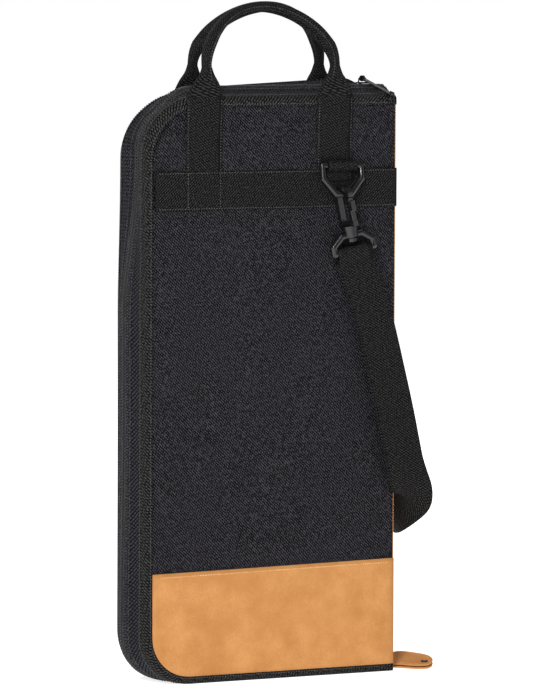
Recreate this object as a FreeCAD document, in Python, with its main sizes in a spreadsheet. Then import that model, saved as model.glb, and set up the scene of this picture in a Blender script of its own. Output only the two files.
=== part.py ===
import FreeCAD, Part
import math
import os
import Sketcher

# Drum stick bag: a book-like padded fabric case that stands on its bottom edge.
# X runs across the case with the spine at +X, Y runs through it with the back at -Y
# and the opening cover at +Y, and Z is up. The origin is the middle of the bottom,
# on the zip line. All sizes are millimetres and all angles degrees.

DIMENSIONS = {
    "case_width": 225,
    "case_height": 480,
    "case_depth": 57,
    "top_radius": 50,
    "bottom_radius": 40,
    "roof_rise": 11,
    "fabric": 1.2,
    "foam": 5,
    "lining": 0.8,
    "binding_width": 8,
    "binding_cloth": 1.2,
    "tape_outer": 9,
    "tape_inner": 3.4,
    "coil_height": 2.4,
    "chain_gap": 1.2,
    "chain_side": 0.3,
    "patch_top": 95,
    "suede": 1.2,
    "webbing": 32,
    "webbing_thick": 1.6,
    "band_bottom": 389,
    "leg_spacing": 117,
    "handle_centre": -2.5,
    "front_handle_shift": 15,
    "ring_at": 60.5,
    "leg_top": 481,
    "handle_lean": 15.4,
    "handle_neck": 26,
    "handle_corner": 38,
    "handle_crown": 60,
    "ring_width": 39,
    "ring_drop": 24,
    "ring_bar": 2.1,
    "ring_tilt": 11,
    "hook_tilt": 12,
    "hook_turn": -70,
    "hook_eye": 5.2,
    "hook_wall": 2.6,
    "hook_thick": 5,
    "hook_run": 29,
    "sleeve_deep": 14,
    "sleeve_low": 14,
    "sleeve_tall": 330,
    "sleeve_wide": 198,
    "sleeve_count": 3,
    "slider_at": 95.5,
    "slider_long": 9,
    "slider_wide": 8,
    "pull_long": 38,
    "pull_wide": 5,
    "pull_yaw": 19,
    "tab_wide": 26,
    "strap_thick": 2.4,
}

doc = FreeCAD.newDocument("StickBag")
sheet = doc.addObject("Spreadsheet::Sheet", "Dims")
for row, (alias, size) in enumerate(DIMENSIONS.items(), start=1):
    sheet.set(f"A{row}", alias)
    sheet.set(f"B{row}", str(size))
    sheet.setAlias(f"B{row}", alias)
doc.recompute()

HALF_DEPTH = "Dims.case_depth / 2"
HALF_WIDTH = "Dims.case_width / 2"
FACE = f"({HALF_DEPTH} + Dims.webbing_thick)"
nodes = []


def value(expression):
    """The number that an expression on the sheet stands for."""
    return float(sheet.evalExpression(expression))


def dim(alias):
    return value("Dims." + alias)


def keep(shape_object, label):
    """Name a finished sub-part and put it on the list to export."""
    shape_object.Label = label
    nodes.append(shape_object)
    return shape_object


def bind(target, **expressions):
    """Bind properties to expressions; x, y and z stand for the placement."""
    for name, expression in expressions.items():
        path = f"Placement.Base.{name}" if name in "xyz" else name
        target.setExpression(path, str(expression))


def box(name, x, y, z, wide, deep, tall):
    """A block with its lowest corner at x, y, z; every size is an expression."""
    block = doc.addObject("Part::Box", name)
    bind(block, x=x, y=y, z=z, Length=wide, Width=deep, Height=tall)
    return block


def joined(name, base, tool, kind="Fuse"):
    """A two-part boolean: Fuse, Cut or Common."""
    result = doc.addObject(f"Part::{kind}", name)
    result.Base = base
    result.Tool = tool
    return result


def solid(name, shape):
    """A sub-part whose shape is worked out here from the sheet's sizes."""
    feature = doc.addObject("Part::Feature", name)
    feature.Shape = shape
    return feature


def mirrored(source, label):
    """The front half's twin of a back piece, mirrored in the zip plane."""
    twin = doc.addObject("Part::Mirroring", label)
    twin.Source = source
    twin.Base = FreeCAD.Vector(0, 0, 0)
    twin.Normal = FreeCAD.Vector(0, 1, 0)
    return keep(twin, label)


# ---------------------------------------------------------------- case outline


def swell(distance):
    """How far the roof-shaped sides stand out at a distance from the zip plane."""
    return f"Dims.roof_rise * (1 - ({distance}) / ({HALF_DEPTH}))"


def origin_plane(body, role):
    return [f for f in body.Origin.OriginFeatures if f.Role == role][0]


def outline_sketch(body, name, level, inset, rise, spine):
    """Closed case outline at y = level: square at the spine, round at the far corners."""
    sketch = body.newObject("Sketcher::SketchObject", name)
    sketch.AttachmentSupport = (origin_plane(body, "XZ_Plane"), [""])
    sketch.MapMode = "FlatFace"
    sketch.setExpression("AttachmentOffset.Base.z", f"-({level})")
    sizes = {
        "left": f"-({HALF_WIDTH}) + ({inset}) - ({rise})",
        "right": spine,
        "bottom": inset,
        "top": f"Dims.case_height - ({inset}) + ({rise})",
        "upper": f"Dims.top_radius - ({inset})",
        "lower": f"Dims.bottom_radius - ({inset})",
    }
    left, right, bottom, top, upper, lower = [value(e) for e in sizes.values()]
    point = lambda across, up: FreeCAD.Vector(across, up, 0)
    axis = FreeCAD.Vector(0, 0, 1)
    upper_circle = Part.Circle(point(left + upper, top - upper), axis, upper)
    lower_circle = Part.Circle(point(left + lower, bottom + lower), axis, lower)
    sketch.addGeometry([
        Part.LineSegment(point(right, top), point(left + upper, top)),
        Part.ArcOfCircle(upper_circle, math.pi / 2, math.pi),
        Part.LineSegment(point(left, top - upper), point(left, bottom + lower)),
        Part.ArcOfCircle(lower_circle, math.pi, 3 * math.pi / 2),
        Part.LineSegment(point(left + lower, bottom), point(right, bottom)),
        Part.LineSegment(point(right, bottom), point(right, top)),
    ], False)
    top_line, top_arc, left_line, low_arc, low_line, spine_line = range(6)
    start, end, origin = 1, 2, -1
    constraint = Sketcher.Constraint
    sketch.addConstraint([
        constraint("Tangent", top_line, end, top_arc, start),
        constraint("Tangent", top_arc, end, left_line, start),
        constraint("Tangent", left_line, end, low_arc, start),
        constraint("Tangent", low_arc, end, low_line, start),
        constraint("Coincident", low_line, end, spine_line, start),
        constraint("Coincident", spine_line, end, top_line, start),
        constraint("Horizontal", top_line),
        constraint("Horizontal", low_line),
        constraint("Vertical", left_line),
        constraint("Vertical", spine_line),
    ])
    measured = {
        "left": constraint("DistanceX", origin, 1, left_line, start, left),
        "right": constraint("DistanceX", origin, 1, spine_line, start, right),
        "bottom": constraint("DistanceY", origin, 1, low_line, start, bottom),
        "top": constraint("DistanceY", origin, 1, top_line, start, top),
        "upper": constraint("Radius", top_arc, upper),
        "lower": constraint("Radius", low_arc, lower),
    }
    for key, rule in measured.items():
        number = sketch.addConstraint(rule)
        sketch.renameConstraint(number, key)
        sketch.setExpression(f"Constraints.{key}", sizes[key])
    return sketch


def slab(name, inner, outer, inset, spine_inset):
    """A back-half plate of the case outline between two distances from the zip plane."""
    body = doc.addObject("PartDesign::Body", name)
    spine = f"{HALF_WIDTH} - ({spine_inset})"
    sketch = outline_sketch(body, name + "Outline", f"-({inner})", inset, "0", spine)
    pad = body.newObject("PartDesign::Pad", name + "Pad")
    pad.Profile = sketch
    pad.setExpression("Length", f"({outer}) - ({inner})")
    doc.recompute()
    return body


def strip(name, levels, thick, rises):
    """A strip round the top, the far side and the bottom, open at the spine.

    It spans the two y levels, and stands out from the case outline by its two rises.
    """
    body = doc.addObject("PartDesign::Body", name)
    past_spine = f"{HALF_WIDTH} + 5"
    for kind, inset, spine in (("Additive", "0", HALF_WIDTH), ("Subtractive", thick, past_spine)):
        ends = [
            outline_sketch(body, f"{name}{kind}{number}", level, inset, rise, spine)
            for number, (level, rise) in enumerate(zip(levels, rises))
        ]
        loft = body.newObject(f"PartDesign::{kind}Loft", f"{name}{kind}Loft")
        loft.Profile = ends[0]
        loft.Sections = [ends[1]]
        loft.Ruled = True
        doc.recompute()
    return body


def back_strip(name, inner, outer, thick):
    """A back-half strip between two distances from the zip plane, following the roof."""
    levels = (f"-({outer})", f"-({inner})")
    return strip(name, levels, thick, (swell(outer), swell(inner)))


# ---------------------------------------------------------------- padded shells


def back_panels():
    """Outer cloth, foam and lining, one behind the other, and the suede patch outside."""
    cloth_inner = f"{HALF_DEPTH} - Dims.fabric"
    foam_inner = f"{cloth_inner} - Dims.foam"
    lining_inner = f"{foam_inner} - Dims.lining"
    edge = "Dims.fabric + 0.2"
    padded_edge = "Dims.fabric + 1"
    keep(slab("BackPanel", cloth_inner, HALF_DEPTH, edge, "Dims.fabric"), "back_panel")
    keep(slab("BackFoam", foam_inner, cloth_inner, padded_edge, padded_edge), "back_foam")
    keep(slab("BackLining", lining_inner, foam_inner, padded_edge, padded_edge), "back_lining")
    plate = slab("BackPatchPlate", HALF_DEPTH, f"{HALF_DEPTH} + Dims.suede",
                 "Dims.binding_width", "0")
    window = box("BackPatchWindow", f"-({HALF_WIDTH})", "-Dims.case_depth", 0,
                 "Dims.case_width", "Dims.case_depth", "Dims.patch_top")
    keep(joined("BackPatch", plate, window, "Common"), "back_suede_patch")


def back_sides():
    """Binding over the seam, side gusset and half of the zip tape, each a C-shaped strip."""
    seam = f"{HALF_DEPTH} - Dims.binding_width"
    wall = back_strip("BackBindingWall", seam, HALF_DEPTH, "Dims.binding_cloth")
    face_levels = (f"-({HALF_DEPTH} + Dims.binding_cloth)", f"-({HALF_DEPTH})")
    face = strip("BackBindingFace", face_levels, "Dims.binding_width", ("0", "0"))
    keep(joined("BackBinding", wall, face), "back_binding")
    keep(back_strip("BackGusset", "Dims.tape_outer", seam, "Dims.fabric"), "back_gusset")
    keep(back_strip("BackTape", "Dims.tape_inner", "Dims.tape_outer", "Dims.lining"), "back_zip_tape")


def zip_coils():
    """The two coil halves; the gap between them leaves room for the slider's wedge."""
    near = "Dims.chain_side"
    far = "Dims.chain_side + Dims.chain_gap"
    rise = swell("Dims.tape_inner")
    rises = (rise, rise)
    back = strip("BackCoil", ("-(Dims.tape_inner)", near), "Dims.coil_height", rises)
    front = strip("FrontCoil", (far, "Dims.tape_inner"), "Dims.coil_height", rises)
    keep(back, "back_zip_coil")
    keep(front, "front_zip_coil")


def stick_sleeves():
    """Three side-by-side sleeves with open tops, sewn to the lining: front, floor and walls."""
    back_of_sleeve = f"-({HALF_DEPTH} - Dims.fabric - Dims.foam - Dims.lining)"
    pitch = "(Dims.sleeve_wide - Dims.lining) / Dims.sleeve_count"
    left = "-Dims.sleeve_wide / 2"
    reach = "(Dims.sleeve_deep - Dims.lining)"
    keep(box("SleeveFront", left, f"{back_of_sleeve} + {reach}", "Dims.sleeve_low",
             "Dims.sleeve_wide", "Dims.lining", "Dims.sleeve_tall"), "back_sleeve_front")
    keep(box("SleeveFloor", left, back_of_sleeve, "Dims.sleeve_low",
             "Dims.sleeve_wide", reach, "Dims.lining"), "back_sleeve_floor")
    walls = None
    for number in range(int(dim("sleeve_count")) + 1):
        wall = box(f"SleeveWall{number}", f"{left} + {number} * {pitch}", back_of_sleeve,
                   "Dims.sleeve_low + Dims.lining", "Dims.lining", reach,
                   "Dims.sleeve_tall - Dims.lining")
        walls = joined(f"Sleeves{number}", walls, wall) if walls else wall
    keep(walls, "back_sleeve_walls")


def spine_parts():
    """Spine wall between the two halves, with its padding, lining and suede strip."""
    hinge_gap = "0.4"
    half_core = f"({HALF_DEPTH} - Dims.fabric - Dims.foam - Dims.lining - 0.5)"
    half_cloth = f"({HALF_DEPTH} - {hinge_gap})"
    cloth_at = f"({HALF_WIDTH} - Dims.fabric)"
    layers = (
        ("spine_suede_strip", HALF_WIDTH, "Dims.suede", half_cloth),
        ("spine_panel", cloth_at, "Dims.fabric", half_cloth),
        ("spine_foam", f"{cloth_at} - Dims.foam", "Dims.foam", half_core),
        ("spine_lining", f"{cloth_at} - Dims.foam - Dims.lining", "Dims.lining", half_core),
    )
    foot = f"(Dims.coil_height + {hinge_gap})"
    tall = f"Dims.case_height - Dims.binding_cloth - {hinge_gap} - {foot}"
    for label, x, thick, half_span in layers:
        keep(box(label, x, f"-{half_span}", foot, thick, f"2 * {half_span}", tall), label)


# ---------------------------------------------------------------- webbing and handles


def webbing_trim():
    """Band across the panel, the handle's two sewn legs and the loop that holds the ring."""
    keep(box("BackBand", f"-({HALF_WIDTH}) + Dims.binding_width", f"-{FACE}", "Dims.band_bottom",
             "Dims.case_width - Dims.binding_width", "Dims.webbing_thick", "Dims.webbing"),
         "back_webbing_band")
    band_top = "(Dims.band_bottom + Dims.webbing)"
    over_binding = 1.4
    lap = 4
    flange_low = f"(Dims.case_height - Dims.binding_width - {lap})"
    legs = None
    for number, sign in enumerate(("-", "+")):
        across = f"Dims.handle_centre {sign} Dims.leg_spacing / 2 - Dims.webbing / 2"
        low = box(f"LegLow{number}", across, f"-{FACE}", band_top,
                  "Dims.webbing", "Dims.webbing_thick", f"{flange_low} - {band_top}")
        high = box(f"LegHigh{number}", across, f"-{FACE} - {over_binding}",
                   f"{flange_low} - {lap}", "Dims.webbing", "Dims.webbing_thick",
                   f"Dims.leg_top - {flange_low} + {lap}")
        leg = joined(f"Leg{number}", low, high)
        legs = joined("Legs", legs, leg) if legs else leg
    keep(legs, "back_handle_legs")


def lofted(sections):
    """A solid through four-cornered sections, with straight sides between them."""
    wires = [Part.makePolygon(corners + corners[:1]) for corners in sections]
    return Part.makeLoft(wires, True, True)


def corners_of(centre, across, through):
    """Corners of a rectangle with half-diagonals given by two half-side vectors."""
    return [
        centre - across - through,
        centre + across - through,
        centre + across + through,
        centre - across + through,
    ]


def grip_stations():
    """Half of the handle's arch: centre, turn of the path, section width and depth."""
    half = dim("leg_spacing") / 2
    neck = dim("handle_neck")
    corner = dim("handle_corner")
    crown = dim("handle_crown")
    neck_at = half - 1
    meet = math.acos((neck_at - corner) / (crown - corner))
    folded_deep = 14.5
    stations = [
        (-half, 1.4, 0, dim("webbing"), 1.8),
        (-half, neck * 0.45, 0, 25, 5),
        (-neck_at, neck, 0, 11, 10),
    ]
    for share, wide in ((0.35, 11), (0.7, 10), (1.0, 9)):
        turn = meet * share
        x = -neck_at + corner * (1 - math.cos(turn))
        up = neck + corner * math.sin(turn)
        stations.append((x, up, turn, wide, folded_deep))
    centre_up = neck - (crown - corner) * math.sin(meet)
    for share, wide in ((0.35, 8), (0.7, 7), (1.0, 6.5)):
        turn = meet + (math.pi / 2 - meet) * share
        x = -crown * math.cos(turn)
        stations.append((x, centre_up + crown * math.sin(turn), turn, wide, folded_deep))
    return stations


def handle_grip():
    """Carrying arch of folded webbing, leaning in until it meets the other half's."""
    lean = math.radians(dim("handle_lean"))
    pivot_y = -value(FACE) - 0.7
    pivot_z = dim("leg_top")
    normal = FreeCAD.Vector(0, math.cos(lean), -math.sin(lean))
    half = grip_stations()
    mirror = [(-x, up, math.pi - turn, wide, deep) for x, up, turn, wide, deep in half[-2::-1]]
    sections = []
    for x, up, turn, wide, deep in half + mirror:
        centre = FreeCAD.Vector(x + dim("handle_centre"), pivot_y + up * math.sin(lean),
                                pivot_z + up * math.cos(lean))
        rise = math.sin(turn)
        outward = FreeCAD.Vector(-math.cos(turn), rise * math.sin(lean), rise * math.cos(lean))
        sections.append(corners_of(centre, outward * (wide / 2), normal * (deep / 2)))
    keep(solid("BackGrip", lofted(sections)), "back_handle_grip")


# ---------------------------------------------------------------- rings and hooks

ALONG_X = FreeCAD.Vector(1, 0, 0)
ALONG_Y = FreeCAD.Vector(0, 1, 0)
ALONG_Z = FreeCAD.Vector(0, 0, 1)


def ring_pivot():
    """Middle of the ring's top bar, just above the webbing band."""
    behind_bar = 1.8
    above_band = 3
    y = -value(FACE) - dim("ring_bar") - behind_bar
    z = value("Dims.band_bottom + Dims.webbing") + above_band
    return FreeCAD.Vector(dim("ring_at"), y, z)


def rod(start, end, radius):
    return Part.makeCylinder(radius, start.distanceToPoint(end), start, end - start)


def rod_chain(points, radius):
    """Round bar along straight runs, with a ball at every corner."""
    shape = None
    for first, second in zip(points, points[1:] + points[:1]):
        piece = rod(first, second, radius).fuse(Part.makeSphere(radius, first))
        shape = shape.fuse(piece) if shape else piece
    return shape.removeSplitter()


def ring_loop():
    """Short webbing loop round the ring's top bar, sewn to the band behind it."""
    pivot = ring_pivot()
    clearance = 0.5
    bore = dim("ring_bar") + clearance
    wide = dim("webbing") - 6
    wall = 1.1
    tail = 8
    start = pivot - ALONG_X * (wide / 2)
    tube = Part.makeCylinder(bore + wall, wide, start, ALONG_X)
    foot_depth = -value(FACE) - (pivot.y + bore)
    foot = Part.makeBox(wide, foot_depth, 2 * bore + tail,
                        FreeCAD.Vector(start.x, pivot.y + bore, pivot.z - bore - tail))
    shape = tube.fuse(foot).cut(Part.makeCylinder(bore, wide, start, ALONG_X))
    keep(solid("BackRingLoop", shape), "back_ring_loop")


def d_ring():
    """House-shaped ring: straight top bar, short sides and a blunt point below."""
    pivot = ring_pivot()
    half = dim("ring_width") / 2 - dim("ring_bar")
    drop = dim("ring_drop")
    point = 6.5
    outline = ((-half, 0), (half, 0), (half, -drop * 0.45), (point, -drop), (-point, -drop),
               (-half, -drop * 0.45))
    points = [pivot + FreeCAD.Vector(x, 0, up) for x, up in outline]
    shape = rod_chain(points, dim("ring_bar"))
    shape.rotate(pivot, ALONG_X, -dim("ring_tilt"))
    keep(solid("BackDRing", shape), "back_d_ring")


def hook_seat():
    """Where the hook's eye centre sits: on the ring's lowest bar, a little below it."""
    tilt = math.radians(dim("ring_tilt"))
    drop = dim("ring_drop")
    slack = dim("hook_eye") - dim("ring_bar") - 2.3
    y = -drop * math.sin(tilt)
    return ring_pivot() + FreeCAD.Vector(0, y, -drop * math.cos(tilt) - slack)


def hang_hook(shape, turned=True):
    """Turn a hook piece about its own length, tilt it and hang it from the ring."""
    if turned:
        shape.rotate(FreeCAD.Vector(0, 0, 0), ALONG_Z, dim("hook_turn"))
    shape.rotate(FreeCAD.Vector(0, 0, 0), ALONG_Y, -dim("hook_tilt"))
    shape.translate(hook_seat())
    return shape


def centred_block(x_low, x_high, z_low, z_high, deep):
    corner = FreeCAD.Vector(x_low, -deep / 2, z_low)
    return Part.makeBox(x_high - x_low, deep, z_high - z_low, corner)


# The hook along its own length, and the post that turns in the swivel's neck ring.
MOUTH_RISE = 7
MOUTH_TOP = -1
COLLAR_TALL = 3
POST_RADIUS = 2.6
POST_LONG = 9
HEAD_RADIUS = 4
POST_PLAY = 0.3


def hook_body():
    """Moulded hook: a round eye, a shank on one side, and the collar below."""
    eye = dim("hook_eye")
    outer = eye + dim("hook_wall")
    thick = dim("hook_thick")
    run = dim("hook_run")
    mouth_low = -run + MOUTH_RISE
    start = FreeCAD.Vector(0, -thick / 2, 0)
    shape = Part.makeCylinder(outer, thick, start, ALONG_Y)
    shape = shape.fuse(centred_block(-outer, -eye, -run + COLLAR_TALL, 0, thick))
    shape = shape.fuse(centred_block(-outer, outer, -run + COLLAR_TALL, mouth_low, thick))
    shape = shape.cut(Part.makeCylinder(eye, thick, start, ALONG_Y))
    shape = shape.cut(centred_block(eye - 1.2, outer + 1, mouth_low, MOUTH_TOP, thick + 2))
    shape = shape.cut(centred_block(-eye, eye, mouth_low, 0, thick + 2))
    collar = Part.makeCylinder(6.2, COLLAR_TALL, FreeCAD.Vector(0, 0, -run), ALONG_Z)
    post = Part.makeCylinder(POST_RADIUS, POST_LONG,
                             FreeCAD.Vector(0, 0, -run - POST_LONG), ALONG_Z)
    head = Part.makeCylinder(HEAD_RADIUS, 2, FreeCAD.Vector(0, 0, -run - POST_LONG - 0.6), ALONG_Z)
    shape = shape.fuse(collar).fuse(post).fuse(head).removeSplitter()
    keep(solid("BackHook", hang_hook(shape)), "back_hook_body")


def hook_gate():
    """Sprung gate that closes the hook's mouth."""
    eye = dim("hook_eye")
    thick = dim("hook_thick")
    mouth_low = -dim("hook_run") + MOUTH_RISE
    clearance = 0.4
    low = mouth_low + clearance
    high = MOUTH_TOP - clearance - 1.2
    lever = eye + 2.2
    shape = centred_block(eye - 0.6, lever, low, high, thick - 1)
    thumb = centred_block(lever, lever + 1.6, mouth_low + 9, mouth_low + 17, thick - 1)
    keep(solid("BackGate", hang_hook(shape.fuse(thumb))), "back_hook_gate")


def swivel_base():
    """Strap loop of the swivel: a neck ring round the hook's post, and a wide frame."""
    neck_top = -dim("hook_run") - 0.5
    neck_tall = 5
    neck_low = neck_top - neck_tall
    neck = Part.makeCylinder(5.4, neck_tall, FreeCAD.Vector(0, 0, neck_low), ALONG_Z)
    post_room = Part.makeCylinder(POST_RADIUS + POST_PLAY, neck_tall + 2,
                                  FreeCAD.Vector(0, 0, neck_low - 1), ALONG_Z)
    head_room = Part.makeCylinder(HEAD_RADIUS + 0.4, 5, FreeCAD.Vector(0, 0, neck_low - 5), ALONG_Z)
    rail = neck_top - 4
    low = rail - 13
    half = dim("webbing") / 2 + 1.8
    points = [FreeCAD.Vector(x, 0, up) for x, up in
              ((-9, rail), (9, rail), (half, low + 6), (half, low), (-half, low), (-half, low + 6))]
    frame = rod_chain(points, 2.3)
    shape = neck.fuse(frame).cut(post_room).cut(head_room).removeSplitter()
    keep(solid("BackSwivel", hang_hook(shape, turned=False)), "back_swivel_base")


# ---------------------------------------------------------------- zip slider and tab


BAIL_RISE = 4.3


def chain_top():
    """Height of the chain's outer face along the top of the case."""
    return value(f"Dims.case_height + {swell('Dims.tape_inner')}")


def zip_slider():
    """Slider: a plate over the chain, one under it, the wedge between and the pull's bail."""
    long = dim("slider_long")
    wide = dim("slider_wide")
    plate = 1.2
    room = 0.3
    left = dim("slider_at") - long / 2
    top = chain_top()
    under = top - dim("coil_height") - room - plate
    middle = value("Dims.chain_side + Dims.chain_gap / 2")
    upper = Part.makeBox(long, wide, plate, FreeCAD.Vector(left, middle - wide / 2, top + room))
    lower = Part.makeBox(long, wide, plate, FreeCAD.Vector(left, middle - wide / 2, under))
    wedge_wide = dim("chain_gap") - 2 * room
    wedge = Part.makeBox(3, wedge_wide, top + room - under,
                         FreeCAD.Vector(left + 1, middle - wedge_wide / 2, under))
    bail = rod_chain([FreeCAD.Vector(dim("slider_at") + x, middle, top + room + up) for x, up in
                      ((-3.6, 0.6), (-3, BAIL_RISE), (3, BAIL_RISE), (3.6, 0.6))], 0.6)
    shape = upper.fuse(lower).fuse(wedge).fuse(bail).removeSplitter()
    keep(solid("ZipSlider", shape), "zip_slider_body")


def pull_pivot():
    middle = value("Dims.chain_side + Dims.chain_gap / 2")
    return FreeCAD.Vector(dim("slider_at"), middle, chain_top() + 0.3 + BAIL_RISE)


def pull_slope():
    """Downward slope of the pull, so that it lies clear of the roof-shaped top."""
    return math.degrees(math.atan2(dim("roof_rise"), value(HALF_DEPTH))) - 1.5


def zip_pull():
    """Flat metal pull with an eye round the bail and a small hole at its free end."""
    pivot = pull_pivot()
    long = dim("pull_long")
    wide = dim("pull_wide")
    thick = 1.0
    blade = Part.makeBox(wide, long - 1.9, thick,
                         FreeCAD.Vector(-wide / 2, -long, -thick / 2))
    eye = Part.makeCylinder(2.5, wide - 2.6, FreeCAD.Vector(-wide / 2 + 1.3, 0, 0), ALONG_X)
    eye_hole = Part.makeCylinder(1.4, wide + 2, FreeCAD.Vector(-wide / 2 - 1, 0, 0), ALONG_X)
    ring_hole = Part.makeCylinder(1.3, 4, FreeCAD.Vector(0, -long + 2.4, -2), ALONG_Z)
    shape = blade.fuse(eye).cut(eye_hole).cut(ring_hole).removeSplitter()
    shape.rotate(FreeCAD.Vector(0, 0, 0), ALONG_X, pull_slope())
    shape.rotate(FreeCAD.Vector(0, 0, 0), ALONG_Z, dim("pull_yaw"))
    shape.translate(pivot)
    keep(solid("ZipPull", shape), "zip_pull_tab")


def pull_ring():
    """Thin wire ring through the pull's hole, hanging over the case's back corner."""
    slope = math.radians(pull_slope())
    yaw = math.radians(dim("pull_yaw"))
    reach = dim("pull_long") - 2.4
    outward = FreeCAD.Vector(math.sin(yaw), -math.cos(yaw), 0)
    hole = pull_pivot() + outward * (reach * math.cos(slope)) - ALONG_Z * (reach * math.sin(slope))
    corners = ((0, 1.9), (3.8, 0.8), (4.4, -8), (1.4, -8.4), (0, -2.2))
    loop = [hole + outward * out + ALONG_Z * up for out, up in corners]
    keep(solid("PullRing", rod_chain(loop, 0.6)), "zip_pull_ring")


# Middle of the tab from the foot of the spine outwards, measured from its start edge.
TAB_ROUTE = (
    (0, 0, 6.2), (8.5, -3, 8.2), (16.5, -9, 7.6), (24, -17.5, 5.0), (30, -24, 2.6), (34.5, -29, 2.2),
)


def zip_tab():
    """Suede tab folded over the zip's end at the foot of the spine, drooping to the floor."""
    start = FreeCAD.Vector(value(f"{HALF_WIDTH} + Dims.suede") + 0.6, 0, 0)
    route = [start + FreeCAD.Vector(*place) for place in TAB_ROUTE]
    layers = (
        ("zip_tab_lower_suede", -2.2, 1.7, len(route)),
        ("zip_tape_end", -0.45, 0.8, 4),
        ("zip_tab_upper_suede", 0.4, 1.7, len(route)),
    )
    hole_at = route[-2] - ALONG_Z * 10
    for label, low, thick, count in layers:
        sections = []
        for number, point in enumerate(route[:count]):
            ahead = route[min(number + 1, len(route) - 1)] - route[max(number - 1, 0)]
            ahead.z = 0
            if number == 0:
                ahead = ALONG_X
            across = ALONG_Z.cross(ahead).normalize() * (dim("tab_wide") / 2)
            centre = point + ALONG_Z * (low + thick / 2)
            sections.append(corners_of(centre, across, ALONG_Z * (thick / 2)))
        shape = lofted(sections)
        shape = shape.cut(Part.makeCylinder(1.6, 30, hole_at, ALONG_Z))
        keep(solid(label, shape), label)


# ---------------------------------------------------------------- shoulder strap


# Centre line of the strap from the back hook, round the spine, to the front hook:
# x, y, z and how far its outer edge has turned downwards there.
STRAP_ROUTE = (
    (71.9, -38.6, 347.6, 0), (76, -38.8, 333, 0), (82.5, -39.3, 314, 0), (90, -40, 288, 0),
    (98.7, -41, 252, 0), (107.5, -41.5, 216, 0), (116.5, -41, 178, 0), (121.5, -39.5, 163, 8),
    (127, -36, 152, 20), (130.5, -28, 143, 38), (128.5, -13, 134, 56), (128, 3, 127, 60),
    (129, 18, 122, 54), (130.5, 33, 118, 36), (126, 41, 122, 18), (121, 44.5, 133, 6),
    (113, 44.5, 160, 0), (104, 43.5, 198, 0), (95, 42.5, 238, 0), (87, 41.5, 275, 0),
    (80, 39.9, 314, 0), (71.9, 38.6, 347.6, 0),
)
STRAP_TURN_STARTS = 7
STRAP_TURN_ENDS = 15
ADJUSTER_AFTER = 18


def strap_stations():
    """Centre, width, thickness and travel directions of the webbing along its route."""
    route = [FreeCAD.Vector(*place[:3]) for place in STRAP_ROUTE]
    stations = []
    for number, point in enumerate(route):
        before = route[max(number - 1, 0)]
        after = route[min(number + 1, len(route) - 1)]
        along = (after - before).normalize()
        level = (ALONG_X - along * along.dot(ALONG_X)).normalize()
        turn = math.radians(STRAP_ROUTE[number][3])
        across = level * math.cos(turn) + along.cross(level) * math.sin(turn)
        stations.append((point, across, along.cross(across), along))
    return stations


def shoulder_strap():
    """The strap's three stretches: down the back, round the spine, up the cover."""
    half_wide = dim("webbing") / 2
    half_thick = dim("strap_thick") / 2
    sections = [corners_of(point, across * half_wide, through * half_thick)
                for point, across, through, along in strap_stations()]
    keep(solid("StrapNear", lofted(sections[:STRAP_TURN_STARTS + 1])), "strap_near_webbing")
    keep(solid("StrapTurn", lofted(sections[STRAP_TURN_STARTS:STRAP_TURN_ENDS + 1])),
         "strap_turn_webbing")
    keep(solid("StrapFar", lofted(sections[STRAP_TURN_ENDS:])), "strap_far_webbing")


def strap_adjuster():
    """Ladder slide on the strap: end bars behind the webbing and a middle bar over it."""
    stations = strap_stations()
    centre, across, through, along = stations[ADJUSTER_AFTER]
    half = dim("webbing") / 2 + 3
    reach = 11
    lift = dim("strap_thick") / 2 + 2.2
    bar = 1.5

    def at(x, up, out):
        return centre + across * x + along * up + through * out

    shape = None
    for side in (-half, half):
        rail = rod(at(side, -reach, -lift), at(side, reach, -lift), bar)
        post = rod(at(side, 0, -lift), at(side, 0, lift), bar)
        piece = rail.fuse(post).fuse(Part.makeSphere(bar, at(side, 0, lift)))
        shape = shape.fuse(piece) if shape else piece
    for up, out in ((-reach, -lift), (reach, -lift), (0, lift)):
        bar_piece = rod(at(-half, up, out), at(half, up, out), bar)
        for side in (-half, half):
            bar_piece = bar_piece.fuse(Part.makeSphere(bar, at(side, up, out)))
        shape = shape.fuse(bar_piece)
    keep(solid("StrapAdjuster", shape.removeSplitter()), "strap_adjuster")


# ---------------------------------------------------------------- build and export

back_panels()
back_sides()
stick_sleeves()
webbing_trim()
handle_grip()
ring_loop()
d_ring()
hook_body()
hook_gate()
swivel_base()
for back_piece in list(nodes):
    twin = mirrored(back_piece, back_piece.Label.replace("back_", "front_"))
    if "handle" in twin.Label:
        bind(twin, x="Dims.front_handle_shift")
zip_coils()
spine_parts()
zip_slider()
zip_pull()
pull_ring()
zip_tab()
shoulder_strap()
strap_adjuster()
doc.recompute()

for item in doc.Objects:
    if "Invalid" in item.State or "Error" in item.State:
        raise RuntimeError(f"{item.Name} did not rebuild: {item.State}")
for node in nodes:
    if node.Shape.isNull() or not node.Shape.isValid() or node.Shape.Volume <= 0:
        raise RuntimeError(f"{node.Label} has no valid solid")

os.makedirs("parts", exist_ok=True)
for node in nodes:
    node.Shape.exportStep(f"parts/{node.Label}.step")
    print(node.Label, round(node.Shape.Volume), len(node.Shape.Solids))
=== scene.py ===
"""Visual model of a padded drum stick bag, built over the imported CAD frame.

Metres throughout: X across the case with the spine at +X, Y through it with the
back panel at -Y, Z up. Sizes come from the CAD nodes' boxes wherever a node has them.
"""

import math

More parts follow.
